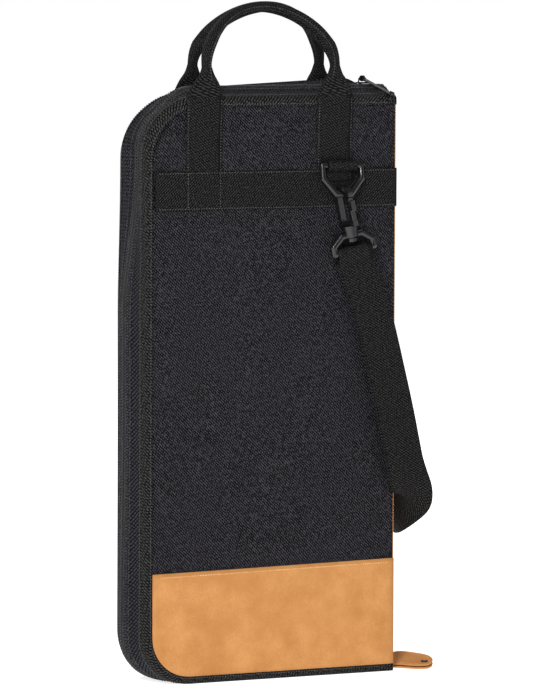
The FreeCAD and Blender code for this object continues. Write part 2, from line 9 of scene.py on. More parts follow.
import bpy
import numpy as np
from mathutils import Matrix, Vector


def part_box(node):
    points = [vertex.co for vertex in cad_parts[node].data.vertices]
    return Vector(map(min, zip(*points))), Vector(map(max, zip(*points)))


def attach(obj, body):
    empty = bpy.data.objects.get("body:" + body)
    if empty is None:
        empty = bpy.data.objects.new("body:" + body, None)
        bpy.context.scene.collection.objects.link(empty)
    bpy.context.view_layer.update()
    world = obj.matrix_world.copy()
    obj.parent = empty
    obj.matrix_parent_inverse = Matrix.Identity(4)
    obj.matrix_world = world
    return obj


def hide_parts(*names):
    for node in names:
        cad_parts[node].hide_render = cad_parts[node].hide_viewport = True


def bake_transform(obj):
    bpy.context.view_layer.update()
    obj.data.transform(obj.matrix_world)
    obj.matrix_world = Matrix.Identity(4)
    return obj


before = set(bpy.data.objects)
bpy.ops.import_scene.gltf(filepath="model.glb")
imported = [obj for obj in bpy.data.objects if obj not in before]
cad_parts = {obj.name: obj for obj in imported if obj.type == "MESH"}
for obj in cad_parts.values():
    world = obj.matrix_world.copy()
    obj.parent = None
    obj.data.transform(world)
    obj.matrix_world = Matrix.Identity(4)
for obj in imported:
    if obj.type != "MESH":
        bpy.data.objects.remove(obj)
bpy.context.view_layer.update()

MM = 0.001
HALVES = {"back": -1, "front": 1}
SHELL = {"back": "back_shell", "front": "front_cover"}

# ---- sizes from the frame


def low_high(*nodes):
    """Lowest and highest corner of the box round some CAD nodes."""
    lows, highs = zip(*(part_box(name) for name in nodes))
    return np.min(lows, axis=0), np.max(highs, axis=0)


def sleeve_nodes(half):
    return tuple(f"{half}_sleeve_{piece}" for piece in ("front", "floor", "walls"))


BAND_LOW, BAND_HIGH = low_high("back_webbing_band")
PATCH_TOP = low_high("back_suede_patch")[1][2]
SPINE_LOW, SPINE_HIGH = low_high("spine_suede_strip")
SLEEVE_LOW, SLEEVE_HIGH = low_high(*sleeve_nodes("back"))
LEGS_LOW, LEGS_HIGH = low_high("back_handle_legs")

HALF_WIDTH = BAND_HIGH[0]
HEIGHT = 480 * MM
FACE_Y = -low_high("back_panel")[0][1]
CORE_Y = -low_high("back_lining")[0][1]
TOP_RADIUS = 50 * MM
BOTTOM_RADIUS = 40 * MM
ROOF_RISE = 11 * MM
BINDING = 6.5 * MM
WEBBING = BAND_HIGH[2] - BAND_LOW[2]
LEG_REACH = (LEGS_HIGH[0] - LEGS_LOW[0] - WEBBING) / 2
CHAIN_MIDDLE = 0.9 * MM


def handle_centre(half):
    low, high = low_high(f"{half}_handle_legs")
    return (low[0] + high[0]) / 2


# ---- mesh helpers


def added(name, data):
    """A new object in the scene."""
    thing = bpy.data.objects.new(name, data)
    bpy.context.scene.collection.objects.link(thing)
    return thing


def mesh_object(name, points, faces, uvs=None):
    """A smooth-shaded mesh object; uvs holds one pair per point, in metres."""
    mesh = bpy.data.meshes.new(name)
    mesh.from_pydata([tuple(map(float, point)) for point in points], [], faces)
    mesh.validate()
    if uvs is not None:
        layer = mesh.uv_layers.new(name="UVMap")
        corner_points = np.empty(len(mesh.loops), dtype=np.int32)
        mesh.loops.foreach_get("vertex_index", corner_points)
        layer.data.foreach_set("uv", np.asarray(uvs, dtype=np.float32)[corner_points].ravel())
    mesh.shade_smooth()
    return added(name, mesh)


def grid_faces(rows, columns, wrap=False):
    """Quads of a grid of points; wrap joins the last column to the first."""
    here = np.arange(rows * columns).reshape(rows, columns)
    after = np.roll(here, -1, axis=1)
    if not wrap:
        here, after = here[:, :-1], after[:, :-1]
    return np.stack((here[:-1], after[:-1], after[1:], here[1:]), axis=-1).reshape(-1, 4).tolist()


def lengths_along(points, axis):
    """Distance travelled along one axis of a grid of points, averaged over the other."""
    steps = np.linalg.norm(np.diff(points, axis=axis), axis=2)
    return np.concatenate(([0], np.cumsum(steps.mean(axis=1 - axis))))


def grid_uvs(points):
    """U along the rows' path and V across it, both in metres."""
    u, v = np.meshgrid(lengths_along(points, 0), lengths_along(points, 1), indexing="ij")
    return np.stack((u, v), axis=2).reshape(-1, 2)


def places(x, y, z):
    """Points (..., 3) from coordinates that may be grids, rows or single values."""
    return np.stack(np.broadcast_arrays(x, y, z), axis=-1)


def tube(name, sections, capped=True):
    """A closed solid through rings of points (stations, ring, 3)."""
    stations, ring = sections.shape[:2]
    faces = grid_faces(stations, ring, wrap=True)
    if capped:
        faces.append(tuple(range(ring))[::-1])
        faces.append(tuple(range((stations - 1) * ring, stations * ring)))
    return mesh_object(name, sections.reshape(-1, 3), faces, grid_uvs(sections))


def closed_sheet(name, face, back):
    """A thin closed solid between two grids of points that share their layout."""
    rows, columns = face.shape[:2]
    count = rows * columns
    quads = grid_faces(rows, columns)
    faces = quads + [[corner + count for corner in quad[::-1]] for quad in quads]
    number = np.arange(count).reshape(rows, columns)
    border = np.concatenate((number[0], number[1:, -1], number[-1, -2::-1], number[-2:0:-1, 0]))
    for here, after in zip(border.tolist(), np.roll(border, -1).tolist()):
        faces.append((after, here, here + count, after + count))
    points = np.concatenate((face.reshape(-1, 3), back.reshape(-1, 3)))
    return mesh_object(name, points, faces, np.tile(grid_uvs(face), (2, 1)))


def joined(name, things):
    """One object from several, keeping their materials."""
    with bpy.context.temp_override(active_object=things[0], selected_editable_objects=things,
                                   selected_objects=things):
        bpy.ops.object.join()
    things[0].name = name
    return things[0]


def unit(vectors):
    return vectors / np.maximum(np.linalg.norm(vectors, axis=-1, keepdims=True), 1e-12)


def smooth_path(points, spacing):
    """Even points on a Catmull-Rom curve through the given ones."""
    points = np.asarray(points, dtype=float)
    padded = np.vstack((2 * points[0] - points[1], points, 2 * points[-1] - points[-2]))
    t = np.linspace(0, 1, 24, endpoint=False)[:, None]
    dense = []
    for a, b, c, d in zip(padded, padded[1:], padded[2:], padded[3:]):
        dense.append(0.5 * (2 * b + (c - a) * t + (2 * a - 5 * b + 4 * c - d) * t ** 2
                            + (3 * b - a - 3 * c + d) * t ** 3))
    dense = np.vstack(dense + [points[-1:]])
    return evenly(dense, spacing)


def resampled(points, spacing, *vectors):
    """A path at an even spacing, with the directions that go with its points."""
    travelled = np.concatenate(([0], np.cumsum(np.linalg.norm(np.diff(points, axis=0), axis=1))))
    count = max(int(round(travelled[-1] / spacing)), 2) + 1
    wanted = np.linspace(0, travelled[-1], count)

    def at_even(values):
        return np.stack([np.interp(wanted, travelled, values[:, k]) for k in range(3)], axis=1)

    return [at_even(points)] + [unit(at_even(vector)) for vector in vectors]


def evenly(points, spacing):
    """The same path with points at an even spacing."""
    return resampled(points, spacing)[0]


def path_length(points):
    return float(np.linalg.norm(np.diff(points, axis=0), axis=1).sum())


def directions(points):
    """Direction of travel at every point of a path."""
    return unit(np.gradient(np.asarray(points, dtype=float), axis=0))


def flat_section(wide, thick, sides=7):
    """Ring of (across, through) pairs: a flat strap's section with rounded edges."""
    half = wide / 2 - thick / 2
    turn = np.linspace(-math.pi / 2, math.pi / 2, sides)
    edge = np.stack((half + np.cos(turn) * thick / 2, np.sin(turn) * thick / 2), axis=1)
    inner = np.linspace(0.8, -0.8, 9)[:, None] * np.array([[half, 0]])
    top = inner + [0, thick / 2]
    low = -inner - [0, thick / 2]
    return np.vstack((edge, top, -edge, low))


def ribbon(name, path, across, wide, thick):
    """Flat webbing along a path; across says which way its width lies at every point."""
    across = unit(np.broadcast_to(across, path.shape))
    along = directions(path)
    across = unit(across - along * (across * along).sum(axis=1, keepdims=True))
    through = np.cross(along, across)
    section = flat_section(wide, thick)
    rings = (path[:, None, :] + across[:, None, :] * section[None, :, :1]
             + through[:, None, :] * section[None, :, 1:])
    return tube(name, rings)


def round_bar(name, path, radius, ring=10, closed=False):
    """Round bar along a path, with a steady twist-free section."""
    if closed:
        path = np.vstack((path, path[:1]))
    along = directions(path)
    if closed:
        along[0] = along[-1] = unit(along[0] + along[-1])
    side = np.cross(along[0], (0.31, 0.17, 0.93))
    turn = np.linspace(0, 2 * math.pi, ring, endpoint=False)
    rings = []
    for point, heading in zip(path, along):
        side = unit(side - heading * np.dot(side, heading))
        up = np.cross(heading, side)
        rings.append(point + radius * (np.cos(turn)[:, None] * side + np.sin(turn)[:, None] * up))
    return tube(name, np.array(rings), capped=not closed)


# ---- stitches

STITCHES = {}
# Places along a stitch and how full its thread is there, as shares of its length and radius.
STITCH_SHAPE = ((-0.5, 0.25), (-0.3, 1), (0.3, 1), (0.5, 0.25))
STITCH_SIDES = 6
LOWEST = 0.1 * MM


def add_stitches(body, path, outward, pitch=2.3 * MM, long=1.5 * MM, radius=0.42 * MM,
                 thread="thread"):
    """Lay a row of thread stitches along a path, on the side that outward points to."""
    outward = np.broadcast_to(np.asarray(outward, dtype=float), path.shape)
    path, outward = resampled(path, pitch, outward)
    along = directions(path)
    side = np.cross(along, outward)
    rings = []
    for share, swell in STITCH_SHAPE:
        centre = path + along * (share * long) + outward * (radius * (swell - 0.75))
        for turn in np.linspace(0, 2 * math.pi, STITCH_SIDES, endpoint=False):
            spoke = side * math.cos(turn) + outward * math.sin(turn)
            rings.append(centre + spoke * radius * swell)
    points = np.array(rings).transpose(1, 0, 2)
    points[:, :, 2] = np.maximum(points[:, :, 2], LOWEST)
    STITCHES.setdefault((body, thread), []).append(points)


def stitch_objects():
    """One object for every body and kind of thread that has stitches."""
    stations = len(STITCH_SHAPE)
    one = np.array(grid_faces(stations, STITCH_SIDES, wrap=True))
    for (body, kind), rows in STITCHES.items():
        points = np.concatenate(rows)
        firsts = np.arange(len(points))[:, None, None] * stations * STITCH_SIDES
        faces = (firsts + one).reshape(-1, 4).tolist()
        dress(mesh_object(f"{kind}_{body}", points.reshape(-1, 3), faces), kind, body)


# ---- materials


def node(tree, kind, settings=None, **inputs):
    """Add a shader node; an input may be a value or another node's output."""
    made = tree.nodes.new("ShaderNode" + kind)
    for name, setting in (settings or {}).items():
        setattr(made, name, setting)
    for name, given in inputs.items():
        key = int(name[1:]) if name[1:].isdigit() else name.replace("_", " ")
        if isinstance(given, bpy.types.NodeSocket):
            tree.links.new(given, made.inputs[key])
        else:
            made.inputs[key].default_value = given
    return made


def calc(tree, operation, first, second=0.0):
    return node(tree, "Math", {"operation": operation}, i0=first, i1=second).outputs[0]


def ranged(tree, value, low, high, to_low=0.0, to_high=1.0):
    """A value stretched from one range to another and kept inside it."""
    return node(tree, "MapRange", Value=value, From_Min=low, From_Max=high,
                To_Min=to_low, To_Max=to_high).outputs[0]


def blended(tree, factor, first, second):
    """A colour between two colours or sockets."""
    mix = node(tree, "Mix", {"data_type": "RGBA"}, i0=factor, i6=first, i7=second)
    return mix.outputs[2]


def rgba(red, green, blue):
    """Linear colour from 0 to 255 sRGB values."""
    channels = [(c / 255 / 12.92 if c <= 10 else ((c / 255 + 0.055) / 1.055) ** 2.4)
                for c in (red, green, blue)]
    return (*channels, 1.0)


def noise(tree, vector, per_metre, detail):
    return node(tree, "TexNoise", Vector=vector, Scale=per_metre, Detail=detail).outputs["Fac"]


def wave(tree, phase, pitch):
    """0..1 ripples of a given pitch along a length socket."""
    turned = calc(tree, "SINE", calc(tree, "MULTIPLY", phase, 2 * math.pi / pitch))
    return calc(tree, "MULTIPLY", calc(tree, "ADD", turned, 1.0), 0.5)


def begin(name, coordinates="Object"):
    """A new material, its tree, its shader and the coordinates its pattern follows."""
    material = bpy.data.materials.new(name)
    material.use_nodes = True
    tree = material.node_tree
    shader = tree.nodes["Principled BSDF"]
    return material, tree, shader, node(tree, "TexCoord").outputs[coordinates]


def finish_material(tree, shader, colour, height, depth, roughness):
    """Connect colour, bump and roughness; depth is the bump's height in metres."""
    bump = node(tree, "Bump", Strength=0.9, Distance=depth, Height=height)
    tree.links.new(bump.outputs["Normal"], shader.inputs["Normal"])
    tree.links.new(colour, shader.inputs["Base Color"])
    if isinstance(roughness, bpy.types.NodeSocket):
        tree.links.new(roughness, shader.inputs["Roughness"])
    else:
        shader.inputs["Roughness"].default_value = roughness


def painted_weave_shade_and_dust(tree, vector, height, dark, pale, dust):
    """Painted shade where the weave lies low and painted highlight on its raised threads, with soft
    patches of rubbed and dusty cloth.
    """
    # painted shade where the weave is low, painted highlight where it is high
    threads = blended(tree, ranged(tree, height, 0.2, 0.8), dark, pale)
    patches = ranged(tree, noise(tree, vector, 22, 4.0), 0.45, 0.8, 0.0, 0.15)
    return blended(tree, patches, threads, dust)


def cloth_material(name, weave, depth, shades, flat=False, roughness=0.82):
    """Woven cloth whose pattern follows the piece, or the XZ plane where it is flat.

    weave makes the thread height from two length sockets.
    """
    material, tree, shader, vector = begin(name, "Object" if flat else "UV")
    axes = node(tree, "SeparateXYZ", Vector=vector).outputs
    fuzz = ranged(tree, noise(tree, vector, 620, 2.0), 0.3, 0.7, -0.4, 0.4)
    height = calc(tree, "ADD", weave(tree, axes[0], axes[2 if flat else 1]), fuzz)
    # colour: painted shade in the weave's low places, painted highlight on its raised threads, then
    # dust patches
    colour = painted_weave_shade_and_dust(tree, vector, height, *(rgba(*shade) for shade in shades))
    finish_material(tree, shader, colour, height, depth, roughness)
    shader.inputs["Specular IOR Level"].default_value = 0.1
    return material


def dotted(tree, ribs, threads):
    """Height of ribs broken into dots by the single threads."""
    dots = calc(tree, "MULTIPLY", ribs, threads)
    return calc(tree, "ADD", calc(tree, "MULTIPLY", ribs, 0.35),
                calc(tree, "MULTIPLY", dots, 0.65))


def twill(pitch, thread):
    """Diagonal ribs a pitch apart."""
    def weave(tree, u, v):
        ribs = wave(tree, calc(tree, "ADD", u, v), pitch)
        threads = wave(tree, calc(tree, "SUBTRACT", u, calc(tree, "MULTIPLY", v, 0.3)), thread)
        return dotted(tree, ribs, threads)
    return weave


def herringbone(pitch, half_width):
    """Ribs that meet in a chevron down the middle of a tape."""
    def weave(tree, u, v):
        from_middle = calc(tree, "ABSOLUTE", calc(tree, "SUBTRACT", v, half_width))
        ribs = wave(tree, calc(tree, "ADD", u, from_middle), pitch)
        threads = wave(tree, u, pitch * 0.8)
        return dotted(tree, ribs, threads)
    return weave


def plain_weave(pitch):
    """Over and under threads of a light lining cloth."""
    def weave(tree, u, v):
        return calc(tree, "MULTIPLY", wave(tree, u, pitch), wave(tree, v, pitch))
    return weave


def suede_material():
    """Tan suede: brushed nap in soft patches over a fine pebbled grain."""
    material, tree, shader, vector = begin("suede")
    nap = noise(tree, vector, 55, 6.0)
    grain = noise(tree, vector, 620, 4.0)
    base = blended(tree, ranged(tree, nap, 0.3, 0.7), rgba(187, 129, 74), rgba(208, 151, 93))
    colour = blended(tree, calc(tree, "MULTIPLY", grain, 0.45), base, rgba(148, 94, 48))
    height = calc(tree, "ADD", grain, calc(tree, "MULTIPLY", nap, 0.8))
    finish_material(tree, shader, colour, height, 0.25 * MM, 0.95)
    shader.inputs["Sheen Weight"].default_value = 0.35
    shader.inputs["Sheen Roughness"].default_value = 0.4
    shader.inputs["Sheen Tint"].default_value = rgba(240, 200, 150)
    shader.inputs["Specular IOR Level"].default_value = 0.15
    return material


def hard_material(name, dark, pale, roughness, metallic=0.0):
    """Moulded plastic or painted metal: fine grain, handling marks and uneven gloss."""
    material, tree, shader, vector = begin(name)
    speckle = noise(tree, vector, 900, 2.0)
    handled = noise(tree, vector, 90, 4.0)
    colour = blended(tree, handled, dark, pale)
    gloss = ranged(tree, handled, 0.3, 0.7, roughness * 0.8, roughness * 1.3)
    finish_material(tree, shader, colour, speckle, 0.05 * MM, gloss)
    shader.inputs["Metallic"].default_value = metallic
    shader.inputs["Specular IOR Level"].default_value = 0.5
    return material


def foam_material():
    material, tree, shader, vector = begin("foam")
    cells = node(tree, "TexVoronoi", Vector=vector, Scale=900.0).outputs["Distance"]
    colour = blended(tree, cells, rgba(34, 34, 36), rgba(70, 70, 74))
    finish_material(tree, shader, colour, cells, 0.3 * MM, 0.9)
    return material


def thread_material(name, dark, pale):
    material, tree, shader, vector = begin(name)
    twist = noise(tree, vector, 420, 3.0)
    colour = blended(tree, ranged(tree, twist, 0.35, 0.65), dark, pale)
    finish_material(tree, shader, colour, twist, 0.1 * MM, 0.6)
    return material


def floor_material():
    material, tree, shader, vector = begin("floor")
    mottle = noise(tree, vector, 3, 2.0)
    colour = blended(tree, mottle, rgba(250, 250, 250), rgba(254, 254, 254))
    finish_material(tree, shader, colour, mottle, 0.1 * MM, 0.9)
    shader.inputs["Emission Color"].default_value = (1, 1, 1, 1)
    shader.inputs["Emission Strength"].default_value = 0.82
    return material


def make_materials():
    """Every finish of the bag by name; a cloth has its colour in painted shade between the threads,
    its colour in painted highlight on them, and dust.
    """
    black = (3, 3, 5), (61, 60, 66), (40, 39, 43)
    strong = (2, 2, 2), (50, 49, 49), (30, 29, 30)
    ribbed = (2, 2, 2), (64, 64, 63), (40, 40, 40)
    inside = (14, 14, 16), (72, 73, 77), (54, 54, 57)
    wide_chevron = herringbone(3.0 * MM, 12 * MM)
    fine_chevron = herringbone(2.6 * MM, 3 * MM)
    return {
        "panel": cloth_material("panel_twill", twill(2.6 * MM, 2.0 * MM), 0.22 * MM, black, True),
        "side": cloth_material("side_twill", twill(3.6 * MM, 3.0 * MM), 0.22 * MM, black),
        "webbing": cloth_material("webbing_twill", twill(2.6 * MM, 2.2 * MM), 0.35 * MM, strong),
        "binding": cloth_material("binding_herringbone", wide_chevron, 0.3 * MM, ribbed),
        "tape": cloth_material("zip_tape", fine_chevron, 0.15 * MM, inside),
        "lining": cloth_material("lining", plain_weave(0.9 * MM), 0.1 * MM, inside, True, 0.6),
        "suede": suede_material(),
        "foam": foam_material(),
        "coil": hard_material("zip_coil", rgba(24, 24, 26), rgba(62, 62, 64), 0.45),
        "plastic": hard_material("moulded_plastic", rgba(10, 10, 11), rgba(24, 24, 25), 0.2),
        "metal": hard_material("black_metal", rgba(18, 18, 19), rgba(36, 36, 37), 0.34, 0.5),
        "thread": thread_material("thread", rgba(4, 4, 4), rgba(78, 77, 77)),
        "tan_thread": thread_material("tan_thread", rgba(196, 146, 92), rgba(244, 200, 142)),
        "floor": floor_material(),
    }


MATERIAL = make_materials()


def dress(thing, finish, body=None, *nodes):
    """A piece's finish, the body it rides on and the CAD nodes it stands for."""
    thing.data.materials.clear()
    thing.data.materials.append(MATERIAL[finish])
    if nodes:
        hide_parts(*nodes)
    if body:
        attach(thing, body)


# ---- case outline

OUTLINE_COUNTS = (44, 14, 78, 18, 40)


def outline(inset, rise=0.0):
    """Points (x, z) of the case outline from the foot of the spine round to its top."""
    left = -HALF_WIDTH + inset - rise
    top = HEIGHT - inset + rise
    upper = TOP_RADIUS - inset
    lower = BOTTOM_RADIUS - inset
    low_centre = np.array((left + lower, inset + lower))
    high_centre = np.array((left + upper, top - upper))
    low_run, low_turn, side, high_turn, high_run = OUTLINE_COUNTS

    def straight(start, end, count):
        share = np.linspace(0, 1, count, endpoint=False)[:, None]
        return np.array(start) * (1 - share) + np.array(end) * share

    def arc(centre, radius, start, end, count):
        turn = np.radians(np.linspace(start, end, count, endpoint=False))
        return centre + radius * np.stack((np.cos(turn), np.sin(turn)), axis=1)

    return np.vstack((
        straight((HALF_WIDTH, inset), (left + lower, inset), low_run),
        arc(low_centre, lower, 270, 180, low_turn),
        straight((left, inset + lower), (left, top - upper), side),
        arc(high_centre, upper, 180, 90, high_turn),
        straight((left + upper, top), (HALF_WIDTH, top), high_run),
        [(HALF_WIDTH, top)],
    ))


def swell(distance):
    """How far the roof-shaped sides stand out at a distance from the zip plane."""
    return ROOF_RISE * (1 - distance / FACE_Y)


# Places across the depth and the share of the ridge's lift there.
RIDGE_PLACES = (4.5 * MM, 9 * MM, 18 * MM, FACE_Y)
RIDGE_SHARES = (0, 1, 0.6, 0)
RIDGE_LIFT = 7 * MM


def ridge_lift(x, z):
    """The cover's gusset puffs up towards the spine, behind the zip, and drops at its end."""
    on_top = np.clip((z - 440 * MM) / (40 * MM), 0, 1)
    towards_spine = np.clip((x + 60 * MM) / (130 * MM), 0, 1)
    at_spine = np.clip((x - 86 * MM) / (12 * MM), 0, 1)
    return RIDGE_LIFT * on_top * towards_spine * (1 - at_spine)


def eased(share):
    """Smooth 0..1 step."""
    share = np.clip(share, 0, 1)
    return share * share * (3 - 2 * share)


# Share of the corner's slump from the back seam (-1) over the zip (0) to the cover's seam (1).
SLUMP_PLACES = (-1.0, -0.72, -0.35, 0.0, 0.30, 0.60, 1.0)
SLUMP_SHARES = (0.0, 0.12, 0.80, 1.0, 0.80, 0.30, 0.12)
SLUMP_DEPTH = 14.5 * MM
SLUMP_TOWARDS_BACK = 4 * MM
WAIST_DEPTH = 2.2 * MM


def corner_slump(flat):
    """How far the soft top corner has slumped at each outline point, 0..1."""
    up_the_side = eased((flat[:, 1] - 300 * MM) / (130 * MM))
    along_the_top = 1 - eased((flat[:, 0] + 100 * MM) / (38 * MM))
    return up_the_side * along_the_top


def rim_path(side, distance, inset=0.0, proud=0.0):
    """Path on the side walls at a distance from the zip plane."""
    flat = outline(inset, swell(distance) + proud)
    lift = ridge_lift(flat[:, 0], flat[:, 1]) * np.interp(side * distance, RIDGE_PLACES,
                                                          RIDGE_SHARES)
    path = places(flat[:, 0], side * distance, flat[:, 1] + lift)
    slump = corner_slump(flat) * np.interp(side * distance / FACE_Y, SLUMP_PLACES, SLUMP_SHARES)
    up_the_side = np.clip((flat[:, 1] - 60 * MM) / (360 * MM), 0, 1) * (flat[:, 0] < 0)
    waist = (1 - distance / FACE_Y) * np.sin(math.pi * up_the_side)
    path -= rim_outward(path) * (slump * SLUMP_DEPTH + waist * WAIST_DEPTH)[:, None]
    path[:, 1] -= slump * SLUMP_TOWARDS_BACK
    return path


def rim_outward(path):
    """Outward direction of the side walls along a rim path, in the XZ plane."""
    along = directions(path)
    return unit(np.cross(along, (0, 1, 0)))


def fold_field(points, seed, per_metre):
    """Smooth -1..1 undulation over a set of points, the same on every run."""
    source = np.random.default_rng(seed)
    total = np.zeros(points.shape[:-1])
    for octave in range(5):
        waves = source.normal(size=(3,)) * per_metre * (1 + 0.7 * octave)
        total += np.sin(points @ waves + source.uniform(0, 2 * math.pi)) / (1 + 0.5 * octave)
    return total / 3


# ---- padded panels

WRINKLES = (
    # middle (x, z), direction (x, z), half length, half width, depth
    ((-0.099, 0.449), (0.45, 0.89), 0.018, 0.0035, 3.4 * MM),
    ((-0.085, 0.457), (0.95, -0.30), 0.013, 0.0035, 2.6 * MM),
    ((-0.088, 0.432), (0.62, 0.78), 0.026, 0.0060, 1.6 * MM),
    ((-0.030, 0.446), (0.99, 0.10), 0.050, 0.0050, 1.0 * MM),
    ((0.020, 0.300), (0.30, 0.95), 0.060, 0.0140, 0.9 * MM),
    ((-0.060, 0.210), (0.15, 0.99), 0.080, 0.0180, 1.0 * MM),
    ((0.070, 0.180), (0.90, 0.42), 0.050, 0.0120, 0.8 * MM),
)


def wrinkle_depth(x, z):
    """How far the named wrinkles press into a panel at each place."""
    depth = np.zeros_like(x)
    for (cx, cz), (dx, dz), long, wide, deep in WRINKLES:
        along = (x - cx) * dx + (z - cz) * dz
        across = (x - cx) * dz - (z - cz) * dx
        depth += deep * np.exp(-(along / long) ** 2 - (across / wide) ** 2)
    return depth


def panel_places(inset, spine, rows, columns):
    """Grid of (x, z) places filling the case outline with an inset all round."""
    left = -HALF_WIDTH + inset
    upper = TOP_RADIUS - inset
    lower = BOTTOM_RADIUS - inset
    z = np.linspace(inset, HEIGHT - inset, rows)
    from_top = np.clip(upper - (HEIGHT - inset - z), 0, upper)
    from_low = np.clip(lower - (z - inset), 0, lower)
    cut = (upper - np.sqrt(upper ** 2 - from_top ** 2)) + (lower - np.sqrt(lower ** 2 - from_low ** 2))
    share = np.linspace(0, 1, columns)
    x = (left + cut)[:, None] * (1 - share) + spine * share
    return x, np.repeat(z[:, None], columns, axis=1)


def edge_distance(x, z, inset, spine):
    """Distance from the nearest edge of the filled outline."""
    left = -HALF_WIDTH + inset
    distance = np.minimum.reduce((x - left, spine - x, z - inset, HEIGHT - inset - z))
    for radius, low in ((TOP_RADIUS - inset, False), (BOTTOM_RADIUS - inset, True)):
        cx = left + radius
        cz = inset + radius if low else HEIGHT - inset - radius
        corner = (x < cx) & ((z < cz) if low else (z > cz))
        from_corner = radius - np.hypot(x - cx, z - cz)
        distance = np.where(corner, np.minimum(distance, from_corner), distance)
    return np.maximum(distance, 0)


PANEL_INSET = 1.6 * MM
PANEL_SPINE = HALF_WIDTH - 1.4 * MM
PANEL_GRID = (145, 67)
PILLOW = 1.6 * MM
HELD_EDGE = 7 * MM
MOST_SETTLING = 1.4 * MM


def pressed_by_trim(z):
    """1 where the webbing band or the patch's top seam holds the panel down."""
    band = (BAND_LOW[2] + BAND_HIGH[2]) / 2
    held = np.exp(-((z - band) / (WEBBING * 0.42)) ** 4)
    seam = np.exp(-((z - PATCH_TOP) / (5 * MM)) ** 2)
    return np.clip(held + 0.8 * seam, 0, 1)


def under_trim(half, x, z):
    """Where the patch, the band or a handle's leg is sewn flat on the panel."""
    band = (z > BAND_LOW[2] - 3 * MM) & (z < BAND_HIGH[2] + 3 * MM)
    from_leg = np.abs(np.abs(x - handle_centre(half)) - LEG_REACH)
    leg = (from_leg < WEBBING / 2 + 3 * MM) & (z > BAND_LOW[2])
    return band | leg | (z < PATCH_TOP + 3 * MM)


def panel_front(x, z):
    """Stand-out of the panel's cloth beyond its flat plane, before the cloth settles."""
    from_edge = edge_distance(x, z, PANEL_INSET, PANEL_SPINE)
    crown = 1 - np.exp(-np.maximum(from_edge - 6 * MM, 0) / (26 * MM))
    return PILLOW * crown * (1 - pressed_by_trim(z)) - 0.25 * MM - wrinkle_depth(x, z)


CLOTH_FRAMES = 20
CLOTH = dict(quality=6, mass=0.25, tension_stiffness=25, compression_stiffness=25,
             shear_stiffness=8, bending_stiffness=1.5, use_pressure=True,
             uniform_pressure_force=4, shrink_min=-0.012, vertex_group_mass="held")


def settle(thing, held, cap):
    """Let a closed cushion's cloth settle under light pressure, then keep its shape.

    held is the pinned vertices' numbers and cap is how far any point may move.
    """
    before = np.empty(len(thing.data.vertices) * 3)
    thing.data.vertices.foreach_get("co", before)
    group = thing.vertex_groups.new(name="held")
    group.add(held, 1.0, "REPLACE")
    cloth = thing.modifiers.new("Cloth", "CLOTH")
    for name, value in CLOTH.items():
        setattr(cloth.settings, name, value)
    cloth.settings.effector_weights.gravity = 0
    cloth.point_cache.frame_end = CLOTH_FRAMES
    for number in range(1, CLOTH_FRAMES + 1):
        bpy.context.scene.frame_set(number)
    view = bpy.context.evaluated_depsgraph_get()
    settled = thing.evaluated_get(view)
    after = np.empty_like(before)
    settled.data.vertices.foreach_get("co", after)
    thing.modifiers.remove(cloth)
    bpy.context.scene.frame_set(1)
    before = before.reshape(-1, 3)
    moved = after.reshape(-1, 3) - before
    far = np.linalg.norm(moved, axis=1, keepdims=True)
    moved *= np.minimum(1, cap / np.maximum(far, 1e-9))
    thing.data.vertices.foreach_set("co", (before + moved).ravel())
    thing.data.update()


def panel(half):
    """Outer cloth over foam: a closed, pillowed shell, held at its seams and the band."""
    side = HALVES[half]
    x, z = panel_places(PANEL_INSET, PANEL_SPINE, *PANEL_GRID)
    out = panel_front(x, z)
    face = places(x, side * (FACE_Y + out), z)
    back = places(x, side * (CORE_Y + 0.9 * MM), z)
    thing = closed_sheet(f"{half}_panel_cushion", face, back)
    count = x.size
    from_edge = edge_distance(x, z, PANEL_INSET, PANEL_SPINE).ravel()
    held_face = np.where((from_edge < HELD_EDGE) | under_trim(half, x, z).ravel())[0]
    held = [int(n) for n in held_face] + list(range(count, 2 * count))
    settle(thing, held, MOST_SETTLING)
    smooth = thing.modifiers.new("Smooth", "SUBSURF")
    smooth.levels = smooth.render_levels = 1
    dress(thing, "panel", SHELL[half], f"{half}_panel", f"{half}_foam")


PATCH_SPINE = HALF_WIDTH + 0.2 * MM
PATCH_SLOPE = 3.2 * MM
PATCH_STITCH_IN = 3.2 * MM


def patch_top(x):
    """The patch's upper edge, sewn on a little lower at the zip side."""
    return PATCH_TOP - PATCH_SLOPE * (HALF_WIDTH - x) / (2 * HALF_WIDTH)


def suede_patch(half):
    """Suede foot patch over the panel, with a soft edge and a topstitched upper side."""
    side = HALVES[half]
    x, z = panel_places(BINDING - 1.5 * MM, PATCH_SPINE, 97, 45)
    keep_rows = 1 + int(np.searchsorted(z[:, 0], PATCH_TOP))
    x, z = x[:keep_rows], z[:keep_rows]
    top = patch_top(x[-1])
    foot = z[0, 0]
    z = foot + (z - foot) * (top - foot) / (z[-1, 0] - foot)
    from_top = top - z
    from_edge = np.minimum(edge_distance(x, z, BINDING - 2 * MM, PATCH_SPINE), from_top)
    puff = 1.0 * MM * (1 - np.exp(-from_edge / (14 * MM)))
    seam = 0.45 * MM * np.exp(-((from_top - PATCH_STITCH_IN) / (1.2 * MM)) ** 2)
    ripple = 0.25 * MM * fold_field(places(x, z, 0), 5, 60)
    out = FACE_Y + 0.9 * MM + puff - seam + ripple * np.minimum(from_edge / (10 * MM), 1)
    face = places(x, side * out, z)
    back = places(x, side * (FACE_Y - 0.6 * MM), z)
    thing = closed_sheet(f"{half}_suede_patch_soft", face, back)
    dress(thing, "suede", SHELL[half], f"{half}_suede_patch")
    row = face[-2].copy()
    row[:, 2] = top - PATCH_STITCH_IN
    row[:, 1] = side * (FACE_Y + 1.0 * MM)
    add_stitches(SHELL[half], row[2:-1], (0, side, 0), thread="tan_thread")


# ---- side walls


